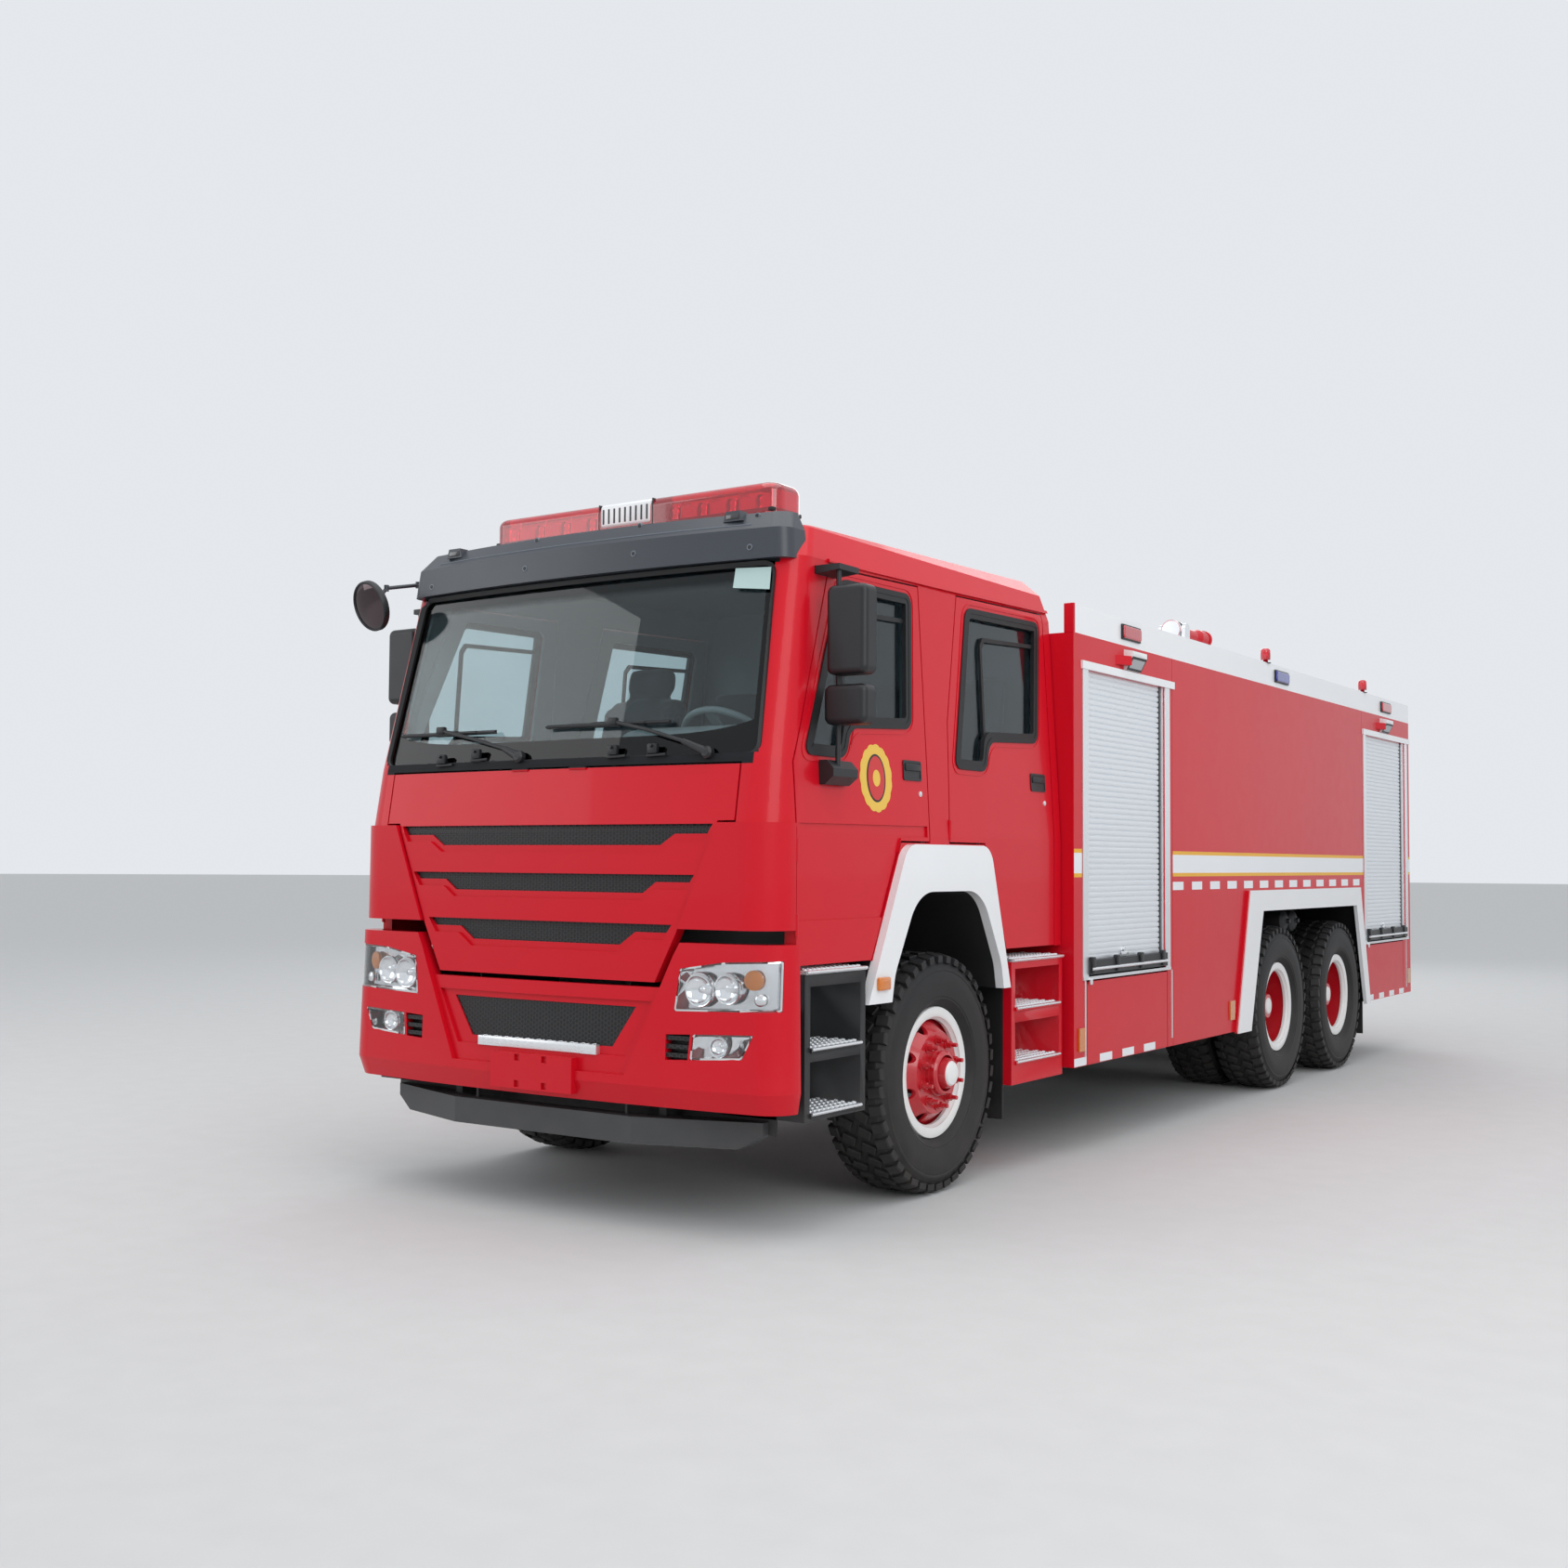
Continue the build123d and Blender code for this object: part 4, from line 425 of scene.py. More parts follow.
def black_inside(name, base, wide, lengths, top):
    """A copy of a paint that turns black behind its outer skin, as inside a wheel arch."""
    material = PAINT[base].copy()
    material.name = name
    tree = material.node_tree
    inside = zone(tree, coordinates(tree), wide, (None, top), lengths)
    paint_over(tree, inside, (0.008, 0.008, 0.009))
    shift(tree, inside, "Roughness", 0.35)
    shift(tree, inside, "Coat Weight", -tree.nodes["Principled BSDF"].inputs["Coat Weight"].default_value)
    return material


def cloth(name):
    """Woven seat cloth: two crossed fine waves with a slow fade."""
    material = bpy.data.materials.new(name)
    material.use_nodes = True
    tree = material.node_tree
    surface = tree.nodes["Principled BSDF"]
    place = add_node(tree, "ShaderNodeTexCoord").outputs["Object"]
    weave = [add_node(tree, "ShaderNodeTexWave", [("Vector", place), ("Scale", 180.0), ("Distortion", 0.6)],
                      bands_direction=direction).outputs["Fac"] for direction in ("X", "Z")]
    cross = maths(tree, "MULTIPLY", *weave)
    colour = mixed(tree, maths(tree, "MULTIPLY", cross, 0.6), (0.07, 0.085, 0.10, 1), (0.16, 0.19, 0.21, 1))
    fade = maths(tree, "MULTIPLY", noise(tree, 5.0, 3.0), 0.3)
    tree.links.new(mixed(tree, fade, colour, (0.05, 0.06, 0.07, 1)), surface.inputs["Base Color"])
    tree.links.new(ramp(tree, cross, 0.0, 1.0, 0.95, 0.8), surface.inputs["Roughness"])
    surface.inputs["Sheen Weight"].default_value = 0.3
    add_relief(tree, cross, 0.4, GRAIN_DEPTH)
    return material


PAINT["screen_glass"] = glass("screen_glass", (0.84, 0.95, 0.95), printed=True)
PAINT["door_glass"] = glass("door_glass", (0.40, 0.50, 0.53))
PAINT["cab_paint"] = cab_paint()
PAINT["flare_paint"] = black_inside("flare_paint", "white_gloss", 1.172, (-0.73, 0.61), 1.60)
PAINT["body_paint"] = black_inside("body_paint", "red_gloss", 1.243, (1.26, 7.915), 1.29)
PAINT["black_mesh"] = honeycomb("black_mesh")
PAINT["seat_cloth"] = cloth("seat_cloth")

# CAD nodes by finish; a node takes the finish of the longest name here that its own starts with.
NODE_FINISH = {
    "chassis_black": "frame_rails front_axle rear_axles side_tanks",
    "cast_grey": "engine_block knuckle",
    "red_gloss": "front_bumper cab_steps monitor_base monitor_barrel flap",
    "bar_grey": "underrun_bar rear_bumper",
    "clear_lens": "headlamps",
    "cab_paint": "cab_shell front_panel door_front door_rear",
    "screen_glass": "windscreen",
    "visor_grey": "sun_visor",
    "beacon_lens": "light_bar",
    "flare_paint": "front_arches",
    "black_rubber": "mudflaps",
    "dash_plastic": "dashboard",
    "body_paint": "equipment_body",
    "white_gloss": "roof_coaming rear_arches",
    "shutter_alloy": "roller_shutters",
    "bright_alloy": "shutter_rails rear_ladder hose_couplings monitor_turret",
    "red_lens": "body_lamps",
    "black_mesh": "grille_mesh bumper_trim",
    "door_glass": "door_front_glass door_rear_glass",
    "black_plastic": "mirror",
    "wheel_red": "rim",
    "tyre_rubber": "tyre",
    "seat_cloth": "cab_seats",
}


def paint_cad_nodes():
    starts = {start: finish for finish, names in NODE_FINISH.items() for start in names.split()}
    for name, node in NODES.items():
        start = max((start for start in starts if name.startswith(start)), key=len)
        node.data.materials.clear()
        node.data.materials.append(PAINT[starts[start]])


paint_cad_nodes()


# Small mesh tools that the pieces below are made with.
AHEAD = (0, -1, 0)
UP = (0, 0, 1)


def fresh(count):
    """Some empty small meshes."""
    return [bmesh.new() for _number in range(count)]


def around(middle, half):
    """The span of a half width about a middle."""
    return middle - half, middle + half


def along(direction):
    """The turn that points Z along a direction."""
    return Vector(direction).to_track_quat("Z", "Y").to_matrix().to_4x4()


def ring_turns(count, share=0.0):
    """Equal turns round a circle, the first one moved on by a share of a step."""
    return [2 * math.pi * (index + share) / count for index in range(count)]


def join(bm, part, matrix=None):
    """Add one small mesh to another, moved by a matrix."""
    if matrix is not None:
        bmesh.ops.transform(part, matrix=matrix, verts=part.verts)
    store = bpy.data.meshes.new("store")
    part.to_mesh(store)
    part.free()
    bm.from_mesh(store)
    bpy.data.meshes.remove(store)


def rounded(part, edges, width, segments=2):
    bmesh.ops.bevel(part, geom=list(edges), offset=width, segments=segments, affect="EDGES", profile=0.5,
                    material=-1)


def cuboid(size):
    """A box about the origin, as a small mesh of its own."""
    part = bmesh.new()
    bmesh.ops.create_cube(part, size=1.0)
    bmesh.ops.scale(part, vec=size, verts=part.verts)
    return part


def box(bm, low, high, round_by=0.0, segments=2, turn=Matrix(), placing=Matrix()):
    """A box between two corners, with rounded edges, turned about its middle and then placed."""
    part = cuboid(Vector(high) - Vector(low))
    if round_by:
        rounded(part, part.edges, round_by, segments)
    join(bm, part, placing @ Matrix.Translation((Vector(high) + Vector(low)) / 2) @ turn)


def block(bm, across, aft, up, round_by=0.0, segments=2, turn=Matrix()):
    """A box from its spans across the truck, behind the front axle and above the ground."""
    low, high = zip(sorted(across), map(back, aft), up)
    box(bm, low, high, round_by, segments, turn)


def bar(bm, start, end, radius, far_radius=None, sides=16):
    """A round bar or cone between two points."""
    part = bmesh.new()
    run = Vector(end) - Vector(start)
    bmesh.ops.create_cone(part, cap_ends=True, segments=sides, radius1=radius,
                          radius2=radius if far_radius is None else far_radius, depth=run.length)
    join(bm, part, Matrix.Translation((Vector(start) + Vector(end)) / 2) @ along(run))


def tube(bm, points, radius, sides=12):
    """A round bar through points with a ball at each."""
    for start, end in zip(points, points[1:]):
        bar(bm, start, end, radius, sides=sides)
    for point in points:
        ball = bmesh.new()
        bmesh.ops.create_uvsphere(ball, u_segments=sides, v_segments=8, radius=radius)
        join(bm, ball, Matrix.Translation(point))


def turned(bm, profile, place, axis=UP, steps=32):
    """Spin a profile of (radius, height) about an axis through a place."""
    part = bmesh.new()
    points = [part.verts.new((radius, 0.0, height)) for radius, height in profile]
    lines = [part.edges.new(pair) for pair in zip(points, points[1:])]
    bmesh.ops.spin(part, geom=points + lines, axis=UP, cent=(0, 0, 0), angle=2 * math.pi, steps=steps,
                   use_merge=True)
    bmesh.ops.remove_doubles(part, verts=part.verts, dist=0.00001)
    bmesh.ops.recalc_face_normals(part, faces=part.faces)
    join(bm, part, Matrix.Translation(place) @ along(axis))


def push_faces(part, push):
    """Give flat faces a thickness by drawing them out along a vector."""
    grown = bmesh.ops.extrude_face_region(part, geom=part.faces[:])["geom"]
    bmesh.ops.translate(part, vec=push, verts=[item for item in grown if isinstance(item, bmesh.types.BMVert)])


def slab(bm, outline, push, round_by=0.0, segments=2):
    """A flat outline given a thickness, with its longer edges rounded."""
    part = bmesh.new()
    part.faces.new([part.verts.new(point) for point in outline])
    push_faces(part, push)
    bmesh.ops.recalc_face_normals(part, faces=part.faces)
    if round_by:
        rounded(part, [edge for edge in part.edges if edge.calc_length() > 0.05], round_by, segments)
    join(bm, part)


def flat_face(outline, corner):
    """A face with rounded corners, drawn as (across, up)."""
    part = bmesh.new()
    part.faces.new([part.verts.new((*point, 0.0)) for point in outline])
    if corner:
        bmesh.ops.bevel(part, geom=list(part.verts), offset=corner, segments=5, affect="VERTICES", profile=0.5,
                        material=-1)
    return part


def plate(outline, corner, proud):
    """A flat plate, drawn as (across, up, proud)."""
    part = flat_face(outline, corner)
    push_faces(part, (0, 0, proud))
    return part


def flat_ring(outline, corner, width, proud):
    """A flat frame, drawn as (across, up, proud)."""
    part = flat_face(outline, corner)
    face = part.faces[:][0]
    bmesh.ops.inset_region(part, faces=[face], thickness=width, use_even_offset=True, use_boundary=True)
    bmesh.ops.delete(part, geom=[face], context="FACES_ONLY")
    push_faces(part, (0, 0, proud))
    return part


def rectangle(near, far, low, high):
    return ((near, low), (far, low), (far, high), (near, high))


CAB_FLANK = ((1.005, 1.180), (1.620, 1.180), (1.915, 1.164), (2.760, 1.112), (2.900, 1.060))
BODY_SIDE = 1.25


def flank(height):
    """Half width of the cab's side at a height."""
    for (low, wide), (high, narrow) in zip(CAB_FLANK, CAB_FLANK[1:]):
        if height <= high:
            return wide + (narrow - wide) * (height - low) / (high - low)
    return CAB_FLANK[-1][1]


def onto_side(bm, part, sign, lift=0.0, half_width=None):
    """Lay a flat part, drawn as (distance aft, height, proud), on the cab's side or at a half width."""
    for vert in part.verts:
        aft, height, proud = vert.co
        side = flank(height) if half_width is None else half_width
        vert.co = (sign * (side + proud + lift), back(aft), height)
    bmesh.ops.recalc_face_normals(part, faces=part.faces)
    join(bm, part)


def add_piece(name, bm, finish, body="chassis", replaces=(), smooth=32.0):
    """Turn a finished small mesh into a piece that rides on a body."""
    mesh = bpy.data.meshes.new(name)
    bm.to_mesh(mesh)
    bm.free()
    mesh.materials.append(PAINT[finish])
    mesh.polygons.foreach_set("use_smooth", [True] * len(mesh.polygons))
    mesh.set_sharp_from_angle(angle=math.radians(smooth))
    piece = bpy.data.objects.new(name, mesh)
    bpy.context.scene.collection.objects.link(piece)
    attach(piece, body)
    if replaces:
        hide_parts(*replaces)
    return piece


def both(name, make, finish):
    """The same piece on the left and on the right of the chassis."""
    for side, sign in SIDES:
        bm = bmesh.new()
        make(bm, sign)
        add_piece(f"{name}_{side}", bm, finish)


def islands(node):
    """Merged copies of the separate solids of a CAD node, each with its lowest and highest corner."""
    whole = bmesh.new()
    whole.from_mesh(NODES[node].data)
    bmesh.ops.remove_doubles(whole, verts=whole.verts, dist=0.00001)
    whole.verts.ensure_lookup_table()
    left = set(range(len(whole.verts)))
    found = []
    while left:
        start = left.pop()
        group, edge = {start}, [start]
        while edge:
            for link in whole.verts[edge.pop()].link_edges:
                for vert in link.verts:
                    if vert.index in left:
                        left.discard(vert.index)
                        group.add(vert.index)
                        edge.append(vert.index)
        part = whole.copy()
        part.verts.ensure_lookup_table()
        bmesh.ops.delete(part, geom=[part.verts[i] for i in range(len(whole.verts)) if i not in group],
                         context="VERTS")
        low, high = (Vector([end(vert.co[axis] for vert in part.verts) for axis in range(3)])
                     for end in (min, max))
        found.append((part, low, high))
    whole.free()
    return found


def split_node(node, finish_of):
    """Replace a CAD node of the chassis by pieces of the same shape, one for each finish."""
    parts = {}
    for part, low, high in islands(node):
        join(parts.setdefault(finish_of(low, high), bmesh.new()), part)
    for finish, bm in parts.items():
        add_piece(f"{node}_{finish}", bm, finish, replaces=(node,))


# Tyres: a spun carcass with a row of shoulder blocks on each side and two rows between them.
WHEELS = {
    # distance aft, middles of the tyres across, outer face of the flange, disc, end of the hub, length of a stud
    "front": (0.0, (1.011,), 1.126, 1.141, 1.216, 0.058),
    "middle": (4.600, (1.090, 0.740), 1.205, 0.929, 1.145, 0.045),
    "rear": (5.950, (1.090, 0.740), 1.205, 0.929, 1.145, 0.045),
}
CARCASS = ((0.2627, 0.1046), (0.2960, 0.1046), (0.3050, 0.118), (0.3300, 0.140), (0.3340, 0.1455),
           (0.3420, 0.1455), (0.3460, 0.149), (0.4000, 0.1565), (0.4350, 0.1555), (0.4600, 0.149),
           (0.4640, 0.1515), (0.4720, 0.1500), (0.4760, 0.1450), (0.5050, 0.134), (0.5250, 0.118), (0.5300, 0.100))
TREAD_RADIUS = 0.5445
TREAD_DEPTH = 0.030
TREAD_ROWS = (
    # across, width, length, turn in degrees, share of a pitch, drop of the outer end
    (0.118, 0.058, 0.050, 6.0, 0.0, 0.016), (-0.118, 0.058, 0.050, 6.0, 0.5, 0.016),
    (0.045, 0.066, 0.046, -24.0, 0.35, 0.0), (-0.045, 0.066, 0.046, -24.0, 0.85, 0.0),
)
TREAD_PITCHES = 42


def tread_row(bm, centre, across, width, length, turn, share, drop):
    """Blocks all round the tyre, from one block turned about the axle."""
    part = cuboid((width, length, TREAD_DEPTH))
    rounded(part, [edge for edge in part.edges if all(vert.co.z > 0 for vert in edge.verts)], 0.004, 1)
    bmesh.ops.rotate(part, cent=(0, 0, 0), matrix=Matrix.Rotation(math.radians(turn), 3, "Z"), verts=part.verts)
    if drop:
        for vert in part.verts:
            outward = vert.co.x * math.copysign(1, across) / width + 0.5
            vert.co.z -= drop * max(outward, 0.0) ** 2
    bmesh.ops.translate(part, vec=(across, 0, TREAD_RADIUS - TREAD_DEPTH / 2), verts=part.verts)
    step = 2 * math.pi / TREAD_PITCHES
    bmesh.ops.rotate(part, cent=(0, 0, 0), matrix=Matrix.Rotation(step * share, 3, "X"), verts=part.verts)
    bmesh.ops.spin(part, geom=part.verts[:] + part.edges[:] + part.faces[:], axis=(1, 0, 0), cent=(0, 0, 0),
                   angle=step * (TREAD_PITCHES - 1), steps=TREAD_PITCHES - 1, use_duplicate=True)
    join(bm, part, Matrix.Translation(centre))


def add_tyres(row, side, sign):
    bm = bmesh.new()
    loop = list(CARCASS) + [(radius, -out) for radius, out in reversed(CARCASS)] + [CARCASS[0]]
    aft, places = WHEELS[row][:2]
    for across in places:
        centre = Vector((sign * across, back(aft), WHEEL_Z))
        turned(bm, loop, centre, (1, 0, 0), 84)
        for tread in TREAD_ROWS:
            tread_row(bm, centre, *tread)
    node = f"tyre_front_{side}" if row == "front" else f"tyres_{row}_{side}"
    add_piece(f"tread_{row}_{side}", bm, "tyre_rubber", f"wheel_{row}_{side}", (node,))


# Rims: white flange and cap, and the red studs with their washers and nuts.
FLANGE = ((0.2400, -0.034), (0.2400, -0.018), (0.2480, -0.010), (0.2535, 0.0010), (0.2600, 0.0045),
          (0.2860, 0.0060), (0.2955, 0.0040), (0.2975, -0.002), (0.2975, -0.011), (0.2953, -0.011),
          (0.2953, 0.0006), (0.2518, 0.0006), (0.2470, -0.034), (0.2400, -0.034))
CAP = ((0.0, 0.014), (0.030, 0.013), (0.050, 0.008), (0.058, -0.002), (0.060, -0.016), (0.052, -0.018),
       (0.0, -0.018))
HUB_RING = ((0.100, 0.0), (0.100, 0.022), (0.092, 0.032), (0.082, 0.034), (0.080, 0.0), (0.100, 0.0))
HUB_RING_OUT = 0.016
WASHER_AND_NUT = ((-0.004, 0.006, 0.0235, 0.0235, 20), (0, 0.030, 0.0165, 0.0165, 6))
STUDS = 10
STUD_CIRCLE = 0.148


def dress_rim(row, side, sign):
    aft, _places, flange, disc, hub, reach = WHEELS[row]
    out = (sign, 0, 0)
    white, studs = fresh(2)
    turned(white, FLANGE, (sign * flange, back(aft), WHEEL_Z), out, 72)
    turned(white, CAP, (sign * hub, back(aft), WHEEL_Z), out, 40)
    add_piece(f"rim_white_{row}_{side}", white, "wheel_white", f"wheel_{row}_{side}")
    for turn in ring_turns(STUDS, 0.5):
        place = Vector((sign * disc, back(aft) + STUD_CIRCLE * math.cos(turn),
                        WHEEL_Z + STUD_CIRCLE * math.sin(turn)))
        for start, end, radius, far_radius, sides in (*WASHER_AND_NUT, (0, reach, 0.0105, 0.0095, 12)):
            bar(studs, place + Vector(out) * start, place + Vector(out) * end, radius, far_radius, sides)
    if row == "front":
        turned(studs, HUB_RING, (sign * (disc + HUB_RING_OUT), back(aft), WHEEL_Z), out, 48)
    add_piece(f"studs_{row}_{side}", studs, "wheel_red", f"wheel_{row}_{side}")


for row in WHEELS:
    for side, sign in SIDES:
        add_tyres(row, side, sign)
        dress_rim(row, side, sign)


# Roller shutters of thin slats; head rails, jambs and handle bars take the shape of the CAD rails.
SLAT_PITCH = 0.030
SLAT = ((-0.0045, 0.0), (-0.0045, 0.0035), (0.0, 0.0060), (0.0012, 0.0160), (0.0, 0.0265))
CURTAIN_BACK = -0.018
SHUTTER_FACE = 1.229
SHUTTER_LOW = 0.990
SHUTTER_HIGH = 2.520
GUIDE_HEIGHTS = (SHUTTER_LOW - 0.06, SHUTTER_HIGH)
GUIDE_INNER = 1.206
# Front and rear end of each curtain and the edge of the jamb behind it.
SIDE_CURTAINS = ((1.420, 2.447, 2.492), (6.630, 7.712, 7.792))
REAR_CURTAIN = (-0.62, 0.62, 1.090)
LATCH_SHARES = (0.03, 0.34, 0.66, 0.97)


def curtain(bm, start, end, low, matrix):
    """A closed curtain of slats between two places, drawn with its face along X and its length along Y."""
    count = int((SHUTTER_HIGH - low) / SLAT_PITCH)
    edge = [(out, start, low + SLAT_PITCH * index + up) for index in range(count) for out, up in SLAT]
    top = [(0.0, start, SHUTTER_HIGH), (CURTAIN_BACK, start, SHUTTER_HIGH)]
    part = bmesh.new()
    slab(part, [(CURTAIN_BACK, start, low)] + edge + top, (0, end - start, 0))
    bmesh.ops.transform(part, matrix=matrix, verts=part.verts)
    bmesh.ops.recalc_face_normals(part, faces=part.faces)
    join(bm, part)


def add_curtains():
    bm = bmesh.new()
    for _side, sign in SIDES:
        for start, end, _jamb in SIDE_CURTAINS:
            matrix = Matrix.Diagonal((sign, 1, 1, 1)) @ Matrix.Translation((SHUTTER_FACE, 0, 0))
            curtain(bm, back(start), back(end), SHUTTER_LOW, matrix)
    right, left, low = REAR_CURTAIN
    rear_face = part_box("roller_shutters")[1][1] - 0.001
    curtain(bm, right, left, low, Matrix.Translation((0, rear_face, 0)) @ Matrix.Rotation(math.pi / 2, 4, "Z"))
    add_piece("shutter_curtains", bm, "shutter_alloy", replaces=("roller_shutters",), smooth=20.0)


def rail_finish(low, high):
    if high.z < 1.0 and low.z > 0.91:
        return "black_plastic"
    return "white_gloss" if low.z > 2.5 else "bright_alloy"


def shutter_latches(bm, sign):
    """Latch brackets along each handle bar, and the dark guide beside each curtain."""
    x = sign * 1.262
    for start, end, _jamb in SIDE_CURTAINS:
        for share in LATCH_SHARES:
            place = start + (end - start) * share
            block(bm, around(x, 0.014), around(place, 0.022), (0.925, 1.012), 0.006)
            bar(bm, (x, back(place) - 0.028, 0.985), (x, back(place) + 0.028, 0.985), 0.011, sides=12)
        block(bm, (sign * GUIDE_INNER, sign * 1.2315), (end, end + 0.020), GUIDE_HEIGHTS)


def lift_bars(bm, sign):
    """The bright bar that joins the latches of each shutter, its guide, the lock and the sill's catch."""
    x = sign * 1.271
    for start, end, jamb in SIDE_CURTAINS:
        middle = (start + end) / 2
        block(bm, (sign * GUIDE_INNER, sign * 1.244), (end + 0.020, jamb), GUIDE_HEIGHTS)
        bar(bm, (x, back(start) + 0.01, 0.950), (x, back(end) + 0.02, 0.950), 0.0085, sides=14)
        block(bm, (x - 0.036, x - 0.028), around(middle, 0.045), (1.004, 1.024), 0.003)
        turned(bm, ((0.0, 0.012), (0.012, 0.012), (0.014, 0.0), (0.0, 0.0)),
               (sign * SHUTTER_FACE, back(middle), 1.035), (sign, 0, 0), 20)
        block(bm, around(sign * 1.2585, 0.006), (start + 0.005, start + 0.035), (0.868, 0.905), 0.003)


add_curtains()
split_node("shutter_rails", rail_finish)
both("shutter_latches", shutter_latches, "black_plastic")
both("shutter_lift_bars", lift_bars, "bright_alloy")


# Cab sides: rubber round the windows, the bars of the sliding panes, handles, locks and plain door ovals.
WINDOWS = {
    "front": ((-1.120, 1.950), (-0.840, 1.950), (-0.800, 2.080), (-0.283, 2.110), (-0.230, 2.690),
              (-0.800, 2.680)),
    "rear": ((0.145, 1.954), (0.428, 1.954), (0.467, 2.100), (1.000, 2.125), (1.085, 2.720),
             (0.322, 2.700)),
}
WINDOW_CORNER = 0.040
PANE_BARS = {
    "front": ((-0.815, 2.085), (-0.795, 2.085), (-0.790, 2.520), (-0.765, 2.552), (-0.243, 2.572), (-0.241, 2.592),
              (-0.780, 2.572), (-0.810, 2.530)),
    "rear": ((0.452, 2.100), (0.472, 2.100), (0.482, 2.540), (0.510, 2.572), (1.070, 2.600), (1.073, 2.620),
             (0.495, 2.592), (0.462, 2.550)),
}
HANDLES = {"front": (-0.358, -0.199), "rear": (0.914, 1.078)}
HANDLE_HEIGHTS = (1.862, 1.952)
LOCK_HEIGHT = 1.805
OVAL_PLACE = (-0.590, 1.860)
OVALS = (
    # name, finish, half width, half height, lift, scallops of the edge, points
    ("gold", "badge_gold", 0.128, 0.142, 0.0002, 15, 60), ("black", "black_plastic", 0.078, 0.104, 0.0010, 0, 40),
    ("red", "badge_red", 0.068, 0.095, 0.0016, 0, 40), ("middle", "badge_gold", 0.030, 0.036, 0.0026, 0, 40),
)
SCALLOP = 0.045


def outset(outline, reach):
    """An anticlockwise outline moved outwards."""
    points = [Vector(point) for point in outline]
    moved = []
    for before, here, after in zip(points[-1:] + points[:-1], points, points[1:] + points[:1]):
        outward = [Vector((run.y, -run.x)) for run in ((here - before).normalized(), (after - here).normalized())]
        way = (outward[0] + outward[1]).normalized()
        moved.append(tuple(here + way * reach / way.dot(outward[0])))
    return moved


def window_rubber(bm, row, sign):
    """The channel in the opening, the lip over its edge, and the bar of the sliding pane."""
    onto_side(bm, flat_ring(WINDOWS[row], WINDOW_CORNER, 0.030, 0.020), sign, -0.016)
    onto_side(bm, flat_ring(outset(WINDOWS[row], 0.018), WINDOW_CORNER + 0.015, 0.024, 0.007), sign, -0.001)
    onto_side(bm, plate(PANE_BARS[row], 0.0, 0.012), sign, -0.022)


def window_moulding(bm, row, sign):
    """Narrow red step round the rubber."""
    onto_side(bm, flat_ring(outset(WINDOWS[row], 0.042), 0.075, 0.007, 0.0035), sign, -0.0005)


def door_handle(bm, row, sign):
    """Black cup with its rim and its pull."""
    near, far = HANDLES[row]
    low, high = HANDLE_HEIGHTS
    onto_side(bm, flat_ring(rectangle(near, far, low, high), 0.012, 0.010, 0.006), sign, -0.001)
    cup = rectangle(near + 0.004, far - 0.004, low + 0.004, high - 0.004)
    onto_side(bm, plate(cup, 0.010, 0.0035), sign, -0.001)
    pull = plate(rectangle(near + 0.014, far - 0.014, high - 0.046, high - 0.014), 0.008, 0.010)
    rounded(pull, [edge for edge in pull.edges if all(vert.co.z > 0.009 for vert in edge.verts)], 0.004)
    onto_side(bm, pull, sign)


def key_lock(bm, row, sign):
    x, aft = sign * (flank(LOCK_HEIGHT) + 0.001), HANDLES[row][1] - 0.012
    turned(bm, ((0.0, 0.005), (0.009, 0.005), (0.0125, 0.003), (0.014, -0.003), (0.0, -0.003)),
           (x, back(aft), LOCK_HEIGHT), (sign, 0, 0.02), 24)
    block(bm, around(x, 0.0065), around(aft, 0.0015), around(LOCK_HEIGHT, 0.006))


def door_oval(sign, across, up, lift, scallops, count):
    """A plain oval on the front door, with a scalloped edge or a smooth one."""
    bm = bmesh.new()
    points = []
    for index, turn in enumerate(ring_turns(count)):
        reach = 1.0 + SCALLOP * abs(math.sin(scallops * math.pi * index / count))
        points.append((OVAL_PLACE[0] + across * math.cos(turn) * reach,
                       OVAL_PLACE[1] + up * math.sin(turn) * reach))
    onto_side(bm, plate(points, 0.0, 0.0012), sign, lift)
    return bm


for side, sign in SIDES:
    for row in WINDOWS:
        for name, make, finish in (
                ("window_rubber", window_rubber, "black_rubber"),
                ("window_moulding", window_moulding, "red_gloss"),
                ("handle", door_handle, "black_plastic"), ("lock", key_lock, "bright_alloy")):
            bm = bmesh.new()
            make(bm, row, sign)
            add_piece(f"{name}_{row}_{side}", bm, finish, f"door_{row}_{side}")
    for name, finish, *shape in OVALS:
        add_piece(f"badge_{name}_{side}", door_oval(sign, *shape), finish, f"door_front_{side}")


# Mirror glasses on the back of each housing: span across, heights and distance aft.
MIRROR_GLASSES = ((1.206, 1.370, 2.280, 2.612, -0.950), (1.192, 1.365, 2.074, 2.206, -0.945))

for side, sign in SIDES:
    bm = bmesh.new()
    for *outline, aft in MIRROR_GLASSES:
        part = plate(rectangle(*outline), 0.020, 0.002)
        for vert in part.verts:
            across, height, proud = vert.co
            vert.co = (sign * across, back(aft) + proud, height)
        bmesh.ops.recalc_face_normals(part, faces=part.faces)
        join(bm, part)
    add_piece(f"mirror_glass_{side}", bm, "mirror_face", f"door_front_{side}")


# Cab front: pieces placed by a ray from ahead onto the CAD surface.
SURFACES = {}
RAY_START_Y = -9.0


def placed(point):
    """A point given as (across, distance aft, height)."""
    across, aft, height = point
    return Vector((across, back(aft), height))


